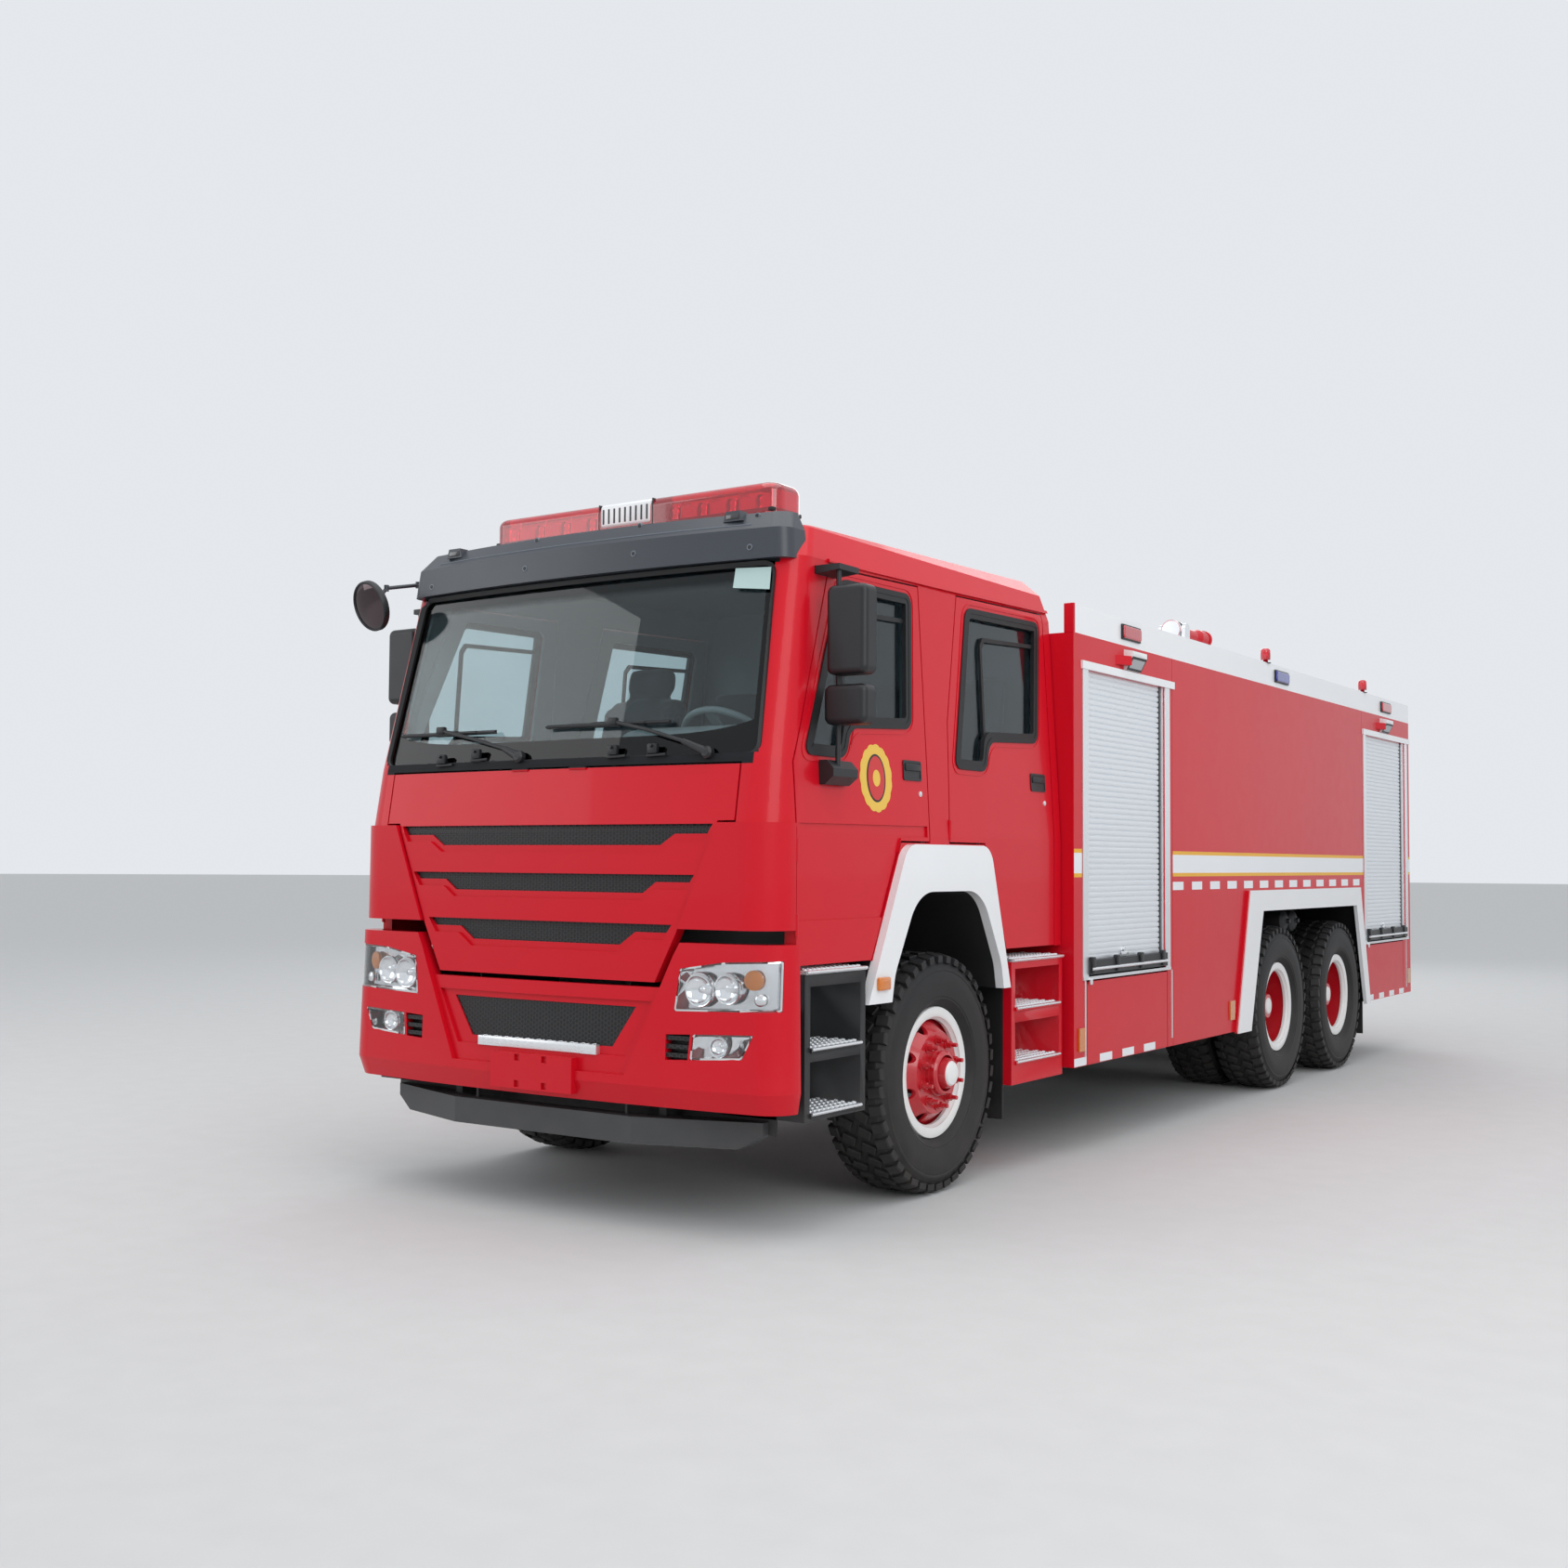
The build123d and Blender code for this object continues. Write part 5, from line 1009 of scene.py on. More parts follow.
def front_hit(node, across, height):
    """Y of a node's surface seen from straight ahead, or of its nearest point."""
    if node not in SURFACES:
        bm = bmesh.new()
        bm.from_mesh(NODES[node].data)
        SURFACES[node] = BVHTree.FromBMesh(bm)
        bm.free()
    place = SURFACES[node].ray_cast(Vector((across, RAY_START_Y, height)), Vector((0, 1, 0)))[0]
    if place is None:
        place = SURFACES[node].find_nearest(placed((across, -1.35, height)))[0]
    return place.y


def onto_front(bm, part, node, lift=0.0):
    """Lay a flat part, drawn as (across, height, proud), on a node's front."""
    for vert in part.verts:
        across, height, proud = vert.co
        vert.co = (across, front_hit(node, across, height) - proud - lift, height)
    bmesh.ops.recalc_face_normals(part, faces=part.faces)
    join(bm, part)


def divided(part, cuts):
    bmesh.ops.subdivide_edges(part, edges=[edge for edge in part.edges if edge.calc_length() > 0.05], cuts=cuts,
                              use_grid_fill=True)
    return part


WIPERS = (
    # ends of the blade, then the arm from its hinge to the blade
    (((-0.975, -1.310, 2.070), (-0.349, -1.345, 2.066)),
     ((-0.179, -1.372, 1.948), (-0.273, -1.368, 1.988), (-0.480, -1.362, 2.040), (-0.686, -1.342, 2.084))),
    (((-0.043, -1.349, 2.074), (0.623, -1.333, 2.073)),
     ((0.830, -1.349, 1.938), (0.708, -1.352, 1.988), (0.520, -1.356, 2.042), (0.333, -1.350, 2.084))),
)
BLADE_STEPS = ((1.0, 0.006), (0.62, 0.009), (0.22, 0.013))
COWL_BLOCKS = ((-0.662, -1.360, 1.950), (-0.442, -1.366, 1.968), (0.352, -1.370, 1.960), (0.559, -1.362, 1.961))


def wiper(bm, blade, arm):
    """Arm with its hinge and cover, and a blade with its bridge and rubber."""
    start, end = map(placed, blade)
    middle = (start + end) / 2
    for share, size in BLADE_STEPS:
        bar(bm, middle + (start - middle) * share, middle + (end - middle) * share, size, sides=8)
    lip = cuboid((0.006, 0.018, (end - start).length))
    join(bm, lip, Matrix.Translation(middle + Vector((0, 0.008, 0))) @ along(end - start))
    points = [placed(point) for point in arm]
    tube(bm, points, 0.0085, 10)
    bar(bm, points[0], points[1], 0.021, 0.013, 16)
    turned(bm, ((0.0, 0.020), (0.018, 0.018), (0.026, 0.008), (0.028, -0.012), (0.0, -0.012)), points[0],
           (0, -1, 0.15), 24)
    clip = Vector((0.024, 0.012, 0.016))
    box(bm, points[-1] - clip, points[-1] + clip, 0.005)


def add_wipers():
    """Both wipers and the hinge blocks of the cowl, each with its nozzle and foot."""
    bm = bmesh.new()
    for blade, arm in WIPERS:
        wiper(bm, blade, arm)
    for point in COWL_BLOCKS:
        place = placed(point)
        box(bm, place - Vector((0.026, 0.010, 0.020)), place + Vector((0.026, 0.012, 0.022)), 0.006)
        for start, end, radius in (((0, -0.008, 0.010), (0, -0.020, 0.014), 0.007),
                                   ((-0.030, -0.002, -0.028), (0.070, -0.002, -0.024), 0.006)):
            bar(bm, place + Vector(start), place + Vector(end), radius, sides=10)
    add_piece("wipers", bm, "black_plastic")


SCREEN_SEAL = ((-1.072, 1.915), (1.072, 1.915), (1.020, 2.738), (-1.020, 2.738))
STICKER = ((0.830, -1.163, 2.715), (0.831, -1.183, 2.630), (1.005, -1.168, 2.612), (0.998, -1.146, 2.708))


def add_screen_parts():
    """Rubber round the windscreen and a blank sticker in its corner."""
    seal, sticker = fresh(2)
    onto_front(seal, divided(flat_ring(SCREEN_SEAL, 0.060, 0.020, 0.012), 8), "windscreen", 0.004)
    add_piece("screen_seal", seal, "black_rubber")
    slab(sticker, [placed(point) for point in STICKER], (0, -0.0008, 0))
    add_piece("screen_sticker", sticker, "pale_label")


VISOR_STUDS = ((-0.934, 2.786), (-0.291, 2.807), (0.335, 2.814), (0.911, 2.793), (-0.271, 2.940), (0.320, 2.945),
               (0.905, 2.935))
VISOR_STUD = ((0.0, 0.007), (0.007, 0.007), (0.009, 0.004), (0.010, -0.004), (0.0, -0.004))
VISOR_WASHER = ((0.008, 0.0045), (0.0135, 0.004), (0.015, -0.004), (0.008, -0.004), (0.008, 0.0045))
STUD_AXIS = (0, -1, 0.1)
CREASE_HEIGHT = 2.893
MIRROR_PLACE = (-1.235, -1.262, 2.712)
MIRROR_FACING = (-0.15, -1.0, -0.35)
MIRROR_FACE = ((0.0, 0.036), (0.050, 0.0345), (0.085, 0.031), (0.108, 0.026), (0.108, 0.020), (0.0, 0.020))
MIRROR_RIM = ((0.108, 0.022), (0.112, 0.031), (0.118, 0.031), (0.122, 0.024), (0.122, 0.004), (0.118, 0.000),
              (0.108, 0.022))


def add_visor_parts():
    """Studs and washers along the visor, a lighter bead on its fold as a painted highlight, its marker lenses, and
    the round mirror's face, dark as a painted reflection, and its rim.
    """
    studs, washers, highlight_bead, lenses, face, rim = fresh(6)
    for across, height in VISOR_STUDS:
        place = (across, front_hit("sun_visor", across, height) + 0.002, height)
        turned(studs, VISOR_STUD, place, STUD_AXIS, 20)
        turned(washers, VISOR_WASHER, place, STUD_AXIS, 24)
    # A lighter bead along the visor's fold: a painted highlight.
    line = [-0.90 + 0.12 * index for index in range(16)]
    points = [(across, front_hit("sun_visor", across, CREASE_HEIGHT), CREASE_HEIGHT) for across in line]
    for start, end in zip(points, points[1:]):
        bar(highlight_bead, start, end, 0.0032, sides=8)
    for sign in (1, -1):
        block(lenses, around(sign * 0.8075, 0.034), (-1.162, -1.150), (2.922, 2.947), 0.005)
    centre = placed(MIRROR_PLACE)
    turned(face, MIRROR_FACE, centre, MIRROR_FACING, 48)
    turned(rim, MIRROR_RIM, centre, MIRROR_FACING, 48)
    for name, bm, finish in (
            ("visor_studs", studs, "black_plastic"), ("visor_washers", washers, "visor_edge"),
            ("visor_crease", highlight_bead, "visor_edge"), ("visor_marker_lenses", lenses, "dark_lens"),
            ("round_mirror_face", face, "dark_mirror"), ("round_mirror_rim", rim, "black_plastic")):
        add_piece(name, bm, finish)


def add_light_bar_parts():
    """Reflectors and lamp drums inside the red pods, the dark base, and the white louvred middle."""
    drums, black, white, slots = fresh(4)
    for sign in (1, -1):
        for index in range(4):
            across = sign * (0.245 + 0.160 * index)
            turned(drums, ((0.0, 0.072), (0.034, 0.070), (0.044, 0.050), (0.044, 0.006), (0.0, 0.006)),
                   placed((across, -0.760, 3.030)), UP, 24)
            block(drums, (across + 0.060, across + 0.068), (-0.850, -0.670), (3.030, 3.112), 0.002, 1)
        block(black, around(sign * 0.490, 0.325), (-0.872, -0.648), (3.0115, 3.030), 0.004)
    block(black, around(0, 0.158), (-0.883, -0.637), (3.006, 3.024), 0.004)
    for sign in (1, -1):
        block(black, around(sign * 0.1575, 0.004), (-0.882, -0.638), (3.010, 3.141), 0.003, 1)
    block(white, around(0, 0.1535), (-0.884, -0.636), (3.024, 3.140), 0.020, 4)
    for index in range(9):
        block(slots, around(-0.128 + 0.032 * index, 0.006), (-0.8855, -0.8700), (3.046, 3.116), 0.002, 1)
    for name, bm, finish in (
            ("beacon_drums", drums, "lamp_silver"), ("light_bar_base", black, "black_plastic"),
            ("light_bar_middle", white, "white_gloss"), ("light_bar_slots", slots, "bar_grey")):
        add_piece(name, bm, finish)


add_wipers()
add_screen_parts()
add_visor_parts()
add_light_bar_parts()


# Bumper: lamps, the alloy step plate with its raised pattern, and below them a black sheet that is painted shade.
LAMP_BLOCKS = (
    # height of the CAD block's foot, outline of its rim, bowls (across, height, radius, depth, bulb cover)
    (0.897, ((0.728, 0.897), (1.190, 0.910), (1.190, 1.108), (0.953, 1.098), (0.750, 1.067)),
     ((0.832, 0.985, 0.066, 0.030, 0.018), (0.962, 0.993, 0.060, 0.026, 0.022))),
    (0.706, ((0.808, 0.706), (1.045, 0.720), (1.095, 0.818), (0.818, 0.808)),
     ((0.930, 0.764, 0.044, 0.026, 0.010),)),
)
TURN_LAMP = (1.075, 1.030, 0.040)
SMALL_LAMP = (1.105, 0.952, 0.024)


def lamp_front(low_z, sign):
    """The outer faces of one lamp block of the headlamps node."""
    for part, low, _high in islands("headlamps"):
        if (low.x > 0) == (sign > 0) and abs(low.z - low_z) < 0.02:
            hidden = [face for face in part.faces
                      if face.normal.y > -0.25 and face.normal.x * sign < 0.8 or abs(face.normal.z) > 0.5]
            bmesh.ops.delete(part, geom=hidden, context="FACES")
            return part
        part.free()
    return None


def lamp_bowl(bm, sign, across, height, radius, depth, bulb):
    """A bright reflector with a raised ring and the cover of its bulb, facing ahead."""
    place = (sign * across, front_hit("headlamps", sign * across, height) + 0.014, height)
    bowl = ((0.010, -depth), (radius * 0.55, -depth * 0.85), (radius * 0.86, -depth * 0.35), (radius * 0.96, 0.0),
            (radius * 1.04, 0.002), (radius * 1.08, -0.004), (radius * 1.08, -0.010))
    turned(bm, bowl, place, AHEAD, 40)
    cover = ((0.0, bulb - depth), (radius * 0.22, bulb - depth - 0.003), (radius * 0.26, -depth))
    turned(bm, cover, place, AHEAD, 24)


def small_lamp(bm, sign, across, height, radius):
    place = (sign * across, front_hit("headlamps", sign * across, height) + 0.020, height)
    profile = ((0.0, 0.004), (radius * 0.7, 0.003), (radius, -0.004), (radius, -0.016), (0.0, -0.016))
    turned(bm, profile, place, (sign * 0.3, -1, 0), 28)


for side, sign in SIDES:
    silver, cover, amber, rims = fresh(4)
    for low_z, outline, bowls in LAMP_BLOCKS:
        front = lamp_front(low_z, sign)
        shell = front.copy()
        bmesh.ops.translate(shell, vec=(-sign * 0.012, 0.046, 0), verts=shell.verts)
        join(silver, shell)
        bmesh.ops.solidify(front, geom=front.faces[:], thickness=0.003)
        join(cover, front)
        for bowl in bowls:
            lamp_bowl(silver, sign, *bowl)
        ring = flat_ring([(sign * across, height) for across, height in outline], 0.012, 0.007, 0.004)
        onto_front(rims, divided(ring, 5), "headlamps")
    small_lamp(amber, sign, *TURN_LAMP)
    small_lamp(silver, sign, *SMALL_LAMP)
    add_piece(f"lamp_reflectors_{side}", silver, "lamp_silver")
    add_piece(f"turn_lamp_{side}", amber, "amber_bulb")
    add_piece(f"lamp_covers_{side}", cover, "lamp_cover", replaces=("headlamps",))
    add_piece(f"lamp_rims_{side}", rims, "lamp_silver")


STEP_TOP = 0.7375


def add_step_plate():
    """The bumper's step plate, with slanted bars on top and short ribs on its face."""
    bm = bmesh.new()
    block(bm, around(0, 0.3360), (-1.4385, -1.4110), (0.6960, STEP_TOP), 0.003)
    for row in range(2):
        for index in range(21):
            turn = Matrix.Rotation(math.radians(45 if (index + row) % 2 else -45), 4, "Z")
            block(bm, around(-0.31 + 0.031 * index, 0.009), around(-1.431 + 0.012 * row, 0.0025),
                  (STEP_TOP - 0.001, STEP_TOP + 0.002), turn=turn)
    for index in range(16):
        block(bm, around(-0.30 + 0.04 * index, 0.012), (-1.4395, -1.436), (0.706, 0.728), 0.002, 1)
    add_piece("bumper_step_pattern", bm, "bright_alloy")


def add_gap_shade():
    """Black sheet behind the gap between the bumper and the under-run bar, with its two stays: painted shade of
    the underside seen through the gap.
    """
    bm = bmesh.new()
    block(bm, around(0, 1.075), (-1.190, -1.182), (0.400, 0.640), 0.003)
    for sign in (1, -1):
        block(bm, (sign * 0.560, sign * 0.600), (-1.300, -1.186), (0.430, 0.500), 0.004)
    add_piece("bumper_apron", bm, "chassis_black")


add_step_plate()
add_gap_shade()


# Cab steps: black box ahead of the wheel, red stair behind it, each with serrated alloy treads.
TREADS = (
    # front, rear, height of the tread's top
    (-1.188, -0.732, 1.062), (-1.148, -0.772, 0.754), (-1.148, -0.772, 0.497),
    (0.627, 1.198, 1.032), (0.667, 1.158, 0.797), (0.667, 1.158, 0.537),
)
TREAD_INNER = 0.975
TREAD_OUTER = 1.2125
HOLE_PITCH = 0.034
RAISED_HOLE = ((0.0125, 0.0), (0.0105, 0.006), (0.0065, 0.006), (0.0055, 0.0))


def step_finish(low, high):
    if high.z - low.z < 0.02:
        return "bright_alloy"
    if high.x - low.x > 0.38 and high.z - low.z > 0.3:
        return "step_black" if low.y < FRONT_AXLE_Y else "step_red"
    return "chassis_black"


def treads(bm, sign):
    """Plates with a rolled edge and raised holes."""
    for front, rear, top in TREADS:
        block(bm, (sign * TREAD_INNER, sign * TREAD_OUTER), (front, rear), (top, top + 0.003), 0.001, 1)
        bar(bm, placed((sign * TREAD_OUTER, front, top - 0.004)), placed((sign * TREAD_OUTER, rear, top - 0.004)),
            0.007, sides=12)
        for row in range(5):
            across = sign * (TREAD_INNER + 0.030 + 0.045 * row)
            for index in range(int((rear - front) / HOLE_PITCH)):
                aft = front + 0.020 + HOLE_PITCH * (index + 0.5 * (row % 2))
                if aft < rear - 0.012:
                    turned(bm, RAISED_HOLE, (across, back(aft), top + 0.003), UP, 8)


def flare_lamp(bm, sign):
    """Amber lamp on the front leg of the white flare."""
    block(bm, (sign * 1.214, sign * 1.232), (-0.655, -0.560), (0.955, 1.012), 0.008, 3)


split_node("cab_steps", step_finish)
both("step_treads", treads, "bright_alloy")
both("flare_lamps", flare_lamp, "amber_lens")


# Body: lamps by colour, scene-lamp faces, reflective stripe and squares, posts and deck.
SCENE_LAMPS = ((1.900, 2.100), (7.050, 7.250))
SCENE_FACE = ((0.014, 2.566), (0.054, 2.640))
SIDE_LAMPS = ((1.869, 2.113), (4.462, 4.728), (7.080, 7.345))
STANDING_LAMPS = (4.330, 6.630)
LAMP_FOOT = ((0.0, 0.004), (0.034, 0.004), (0.036, 0.0), (0.0, 0.0))


def lamp_finish(low, high):
    if low.z > 2.84 or low.z > 0.6 and high.z < 1.0:
        return "red_lens"
    if low.z > 2.70:
        return "blue_lens" if 1.0 < low.y < 1.6 else "red_lens"
    return "amber_lens" if high.z < 1.0 else "white_gloss"


def scene_face(bm, sign, inset, push):
    """A plate on the slanted face of each scene lamp's hood."""
    (near, low), (far, high) = SCENE_FACE
    along_face = Vector((far - near, 0, high - low)).normalized()
    out = Vector((high - low, 0, near - far)).normalized()
    start = Vector((near, 0, low)) + along_face * inset
    end = Vector((far, 0, high)) - along_face * inset
    for front, rear in SCENE_LAMPS:
        front, rear = front + inset, rear - inset
        outline = [(sign * (BODY_SIDE + point.x), back(aft), point.z)
                   for point, aft in ((start, front), (start, rear), (end, rear), (end, front))]
        slab(bm, outline, Vector((sign * out.x, 0, out.z)) * push)


def lamp_bracket(bm, sign):
    """A red wedge that runs from the body's side to the front of each scene lamp."""
    for front, _rear in SCENE_LAMPS:
        corners = ((BODY_SIDE - 0.001, front - 0.120), (BODY_SIDE - 0.001, front), (BODY_SIDE + 0.048, front))
        slab(bm, [(sign * across, back(aft), 2.588) for across, aft in corners], (0, 0, 0.050))


def lamp_trim(bm, sign):
    """Black base of the flat lamps on the coaming and of the standing ones."""
    for front, rear in SIDE_LAMPS:
        frame_outline = rectangle(front - 0.007, rear + 0.007, 2.733, 2.817)
        onto_side(bm, flat_ring(frame_outline, 0.006, 0.008, 0.010), sign, 0.0, BODY_SIDE)
    for aft in STANDING_LAMPS:
        turned(bm, LAMP_FOOT, placed((sign * 1.233, aft, 2.848)), UP, 28)


split_node("body_lamps", lamp_finish)
both("scene_lamp_brackets", lamp_bracket, "red_gloss")
for side, sign in SIDES:
    black, white = fresh(2)
    scene_face(black, sign, 0.002, 0.003)
    scene_face(white, sign, 0.016, 0.0045)
    lamp_trim(black, sign)
    add_piece(f"scene_lamp_frames_{side}", black, "black_plastic")
    add_piece(f"scene_lamp_leds_{side}", white, "led_white")


# Tapes: the stripe of white between two yellow edges, and rows of white squares, open at the panel joints.
STRIPE = (1.429, 1.5765)
STRIPE_EDGE = 0.021
STRIPE_RUNS = ((1.247, 1.343), (2.609, 6.545), (7.868, 7.928))
SQUARES_HIGH = (1.350, 1.398)
SQUARES_LOW = (0.456, 0.498)
HIGH_SQUARES = [(2.609 + 0.305 * index, 2.776 + 0.305 * index) for index in range(13)]
FIRST_LOW_SQUARE = ((1.247, 1.398),)
FLAP_SQUARES = {
    "front": ((1.568, 1.728), (1.867, 2.027), (2.169, 2.333)),
    "rear": ((6.660, 6.800), (6.960, 7.100), (7.260, 7.400), (7.560, 7.700)),
}
SEAMS = ((2.6065, 2.6115), (6.5315, 6.5365))
TAPE = 0.0009
TAPE_LIFT = 0.0002


def side_tape(bm, sign, runs, heights, half_width=BODY_SIDE):
    for near, far in runs:
        onto_side(bm, plate(rectangle(near, far, *heights), 0.0, TAPE), sign, TAPE_LIFT, half_width)


def seams_out(runs):
    """Runs with the panel joints left open."""
    for near_seam, far_seam in SEAMS:
        kept = []
        for near, far in runs:
            kept += [(near, near_seam), (far_seam, far)] if near < near_seam < far else [(near, far)]
        runs = kept
    return runs


for side, sign in SIDES:
    white, yellow = fresh(2)
    low, high = STRIPE
    runs = seams_out(STRIPE_RUNS)
    side_tape(white, sign, runs, (low + STRIPE_EDGE, high - STRIPE_EDGE))
    side_tape(yellow, sign, runs, (low, low + STRIPE_EDGE))
    side_tape(yellow, sign, runs, (high - STRIPE_EDGE, high))
    side_tape(white, sign, seams_out(HIGH_SQUARES), SQUARES_HIGH)
    side_tape(white, sign, FIRST_LOW_SQUARE, SQUARES_LOW)
    add_piece(f"tape_white_{side}", white, "white_tape")
    add_piece(f"tape_yellow_{side}", yellow, "yellow_tape")
    for row, runs in FLAP_SQUARES.items():
        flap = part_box(f"flap_{row}_{side}")
        squares = bmesh.new()
        side_tape(squares, sign, runs, SQUARES_LOW, max(abs(flap[0][0]), abs(flap[1][0])))
        add_piece(f"flap_tape_{row}_{side}", squares, "white_tape", f"flap_{row}_{side}")


AIR_TANK = ((0.0, 0.010), (0.030, 0.008), (0.060, -0.004), (0.078, -0.022), (0.083, -0.050), (0.083, -0.400),
            (0.0, -0.400))
TANK_VALVE = ((0.0, 0.030), (0.016, 0.028), (0.020, 0.010), (0.034, 0.008), (0.034, 0.0))
RIVET = ((0.0, 0.0022), (0.004, 0.0018), (0.006, 0.0))


def coaming_posts(bm, sign):
    """Red front edge of the coaming."""
    block(bm, (sign * 1.196, sign * 1.2515), (1.2425, 1.2490), (2.700, 2.853), 0.002, 1)
    block(bm, (sign * 1.246, sign * 1.2515), (1.2435, 1.262), (2.700, 2.853), 0.001, 1)


def arch_return(bm, sign):
    """Red strip along the front edge of the rear arch frame."""
    outline = ((3.643, 0.440), (3.893, 1.335), (3.872, 1.335), (3.622, 0.455))
    onto_side(bm, plate(outline, 0.0, 0.018), sign, 0.0, BODY_SIDE)


def air_tanks(bm, sign):
    """Two small tanks between the rear wheels, with their valves, and the shelf over them."""
    for aft in (5.135, 5.335):
        place = (sign * 1.10, back(aft), 1.105)
        turned(bm, AIR_TANK, place, (sign, 0, 0), 32)
        turned(bm, TANK_VALVE, place, (sign, 0, 0), 20)
    block(bm, (sign * 0.72, sign * 1.02), (4.98, 5.49), (1.180, 1.200), 0.004)


def flap_strips(bm, sign):
    """Bright strips beside the flaps."""
    for near, far in ((1.372, 2.587), (6.574, 7.785)):
        for aft in (near, far - 0.014):
            onto_side(bm, plate(rectangle(aft, aft + 0.014, 0.500, 0.892), 0.0, 0.006), sign, 0.0, BODY_SIDE)


def coaming_rivets(bm, sign):
    for index in range(33):
        turned(bm, RIVET, placed((sign * BODY_SIDE, 1.40 + 0.2 * index, 2.712)), (sign, 0, 0), 10)


for name, make, finish in (
        ("coaming_posts", coaming_posts, "red_gloss"), ("arch_returns", arch_return, "red_gloss"),
        ("air_tanks", air_tanks, "chassis_black"), ("flap_strips", flap_strips, "bright_alloy"),
        ("coaming_rivets", coaming_rivets, "white_gloss")):
    both(name, make, finish)


DECK = 2.703


def add_deck():
    """White deck inside the coaming, two hatches with their handles, and a slatted walkway."""
    white, hatches, walkway = fresh(3)
    block(white, around(0, 1.213), (1.282, 7.893), (2.7005, 2.7035))
    for low, high in ((1.45, 2.35), (2.95, 3.75)):
        block(hatches, around(0, 0.42), (low, high), (DECK, 2.742), 0.012)
        near, far = low + 0.10, low + 0.26
        for x in (0.16, -0.16):
            bar(hatches, placed((x, near, 2.762)), placed((x, far, 2.762)), 0.008)
            for aft in (near, far):
                bar(hatches, placed((x, aft, 2.740)), placed((x, aft, 2.764)), 0.008)
    for index in range(34):
        aft = 4.35 + 0.035 * index
        block(walkway, around(0, 0.50), (aft, aft + 0.012), (DECK, 2.712))
    add_piece("deck_sheet", white, "white_gloss")
    add_piece("deck_hatches", hatches, "bright_alloy")
    add_piece("deck_walkway", walkway, "bright_alloy")


def add_back():
    """Back of the body: rails and handle of its shutter, tail-lamp cells, reflectors and a blank plate."""
    alloy, black, red, amber = fresh(4)
    rear_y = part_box("equipment_body")[1][1]
    rear = rear_y - FRONT_AXLE_Y
    bar(alloy, (-0.55, rear_y + 0.012, 1.130), (0.55, rear_y + 0.012, 1.130), 0.010)
    for across in (-0.50, 0.0, 0.50):
        block(black, around(across, 0.022), (rear - 0.022, rear + 0.020), (1.105, 1.155), 0.006)
    block(alloy, around(0, 0.66), (rear - 0.001, rear + 0.011), (2.520, 2.562), 0.003)
    for sign in (1, -1):
        block(alloy, (sign * 0.622, sign * 0.660), (rear - 0.001, rear + 0.008), (1.060, 2.520), 0.002)
        for index, cell in enumerate((amber, red, red)):
            across = sign * (0.970 + 0.084 * index)
            block(cell, around(across, 0.037), (rear + 0.016, rear + 0.022), (0.632, 0.748), 0.006)
        for index in range(4):
            block(red if index % 2 else black, around(sign * (0.42 + 0.20 * index), 0.05),
                  (rear - 0.0005, rear + 0.0010), (0.462, 0.492))
    block(black, around(0, 0.26), (rear - 0.002, rear + 0.006), (0.660, 0.820), 0.006)
    add_piece("back_rails", alloy, "bright_alloy")
    add_piece("back_brackets", black, "black_plastic")
    add_piece("back_reflectors", red, "red_lens")
    add_piece("back_turn_lamps", amber, "amber_lens")


add_deck()
add_back()


# Cab inside: instrument hood and trays, vents, display and switches.
HOOD = ((-1.190, 1.900), (-1.160, 1.985), (-1.080, 2.060), (-0.985, 2.085), (-0.900, 2.062), (-0.905, 1.880))
TRAY = ((-1.150, 1.900), (-1.120, 1.965), (-0.960, 1.972), (-0.905, 1.945), (-0.905, 1.880))


def add_dash_parts():
    soft, black, grey = fresh(3)
    for outline, low, high, round_by, segments in ((HOOD, 0.16, 0.94, 0.028, 4), (TRAY, -1.02, -0.62, 0.016, 3),
                                                   (TRAY, -0.55, 0.10, 0.016, 3)):
        slab(soft, [placed((low, *point)) for point in outline], (high - low, 0, 0), round_by, segments)
    for across in (-0.86, -0.16, 0.24, 0.92):
        for slat in range(5):
            height = 1.805 + 0.016 * slat
            block(black, around(across, 0.055), (-0.884, -0.870), (height, height + 0.008), 0.002, 1)
    block(black, (-0.14, 0.10), (-0.890, -0.868), (1.700, 1.790), 0.006)
    for index in range(6):
        block(grey, around(-0.12 + 0.040 * index, 0.014), (-0.875, -0.862), (1.655, 1.680), 0.003, 1)
    add_piece("dash_hood", soft, "dash_plastic")
    add_piece("dash_vents", black, "black_plastic")
    add_piece("dash_switches", grey, "bar_grey")


add_dash_parts()


# Seats: rounded forms that are remeshed, swollen as cloth by a capped amount, and smoothed.
CAB_FLOOR = 1.440
PAD_VOXEL = 0.022
PAD_PRESSURE = 4.0
PAD_CAP = 0.012
PAD_FRAMES = 20
SEAT_MIDDLE = 0.52
BENCH_PLACES = [-0.72 + 0.48 * index for index in range(4)]


def frozen(piece):
    """The piece's mesh with its modifiers applied, and none left on it."""
    mesh = bpy.data.meshes.new_from_object(piece.evaluated_get(bpy.context.evaluated_depsgraph_get()))
    piece.modifiers.clear()
    return mesh


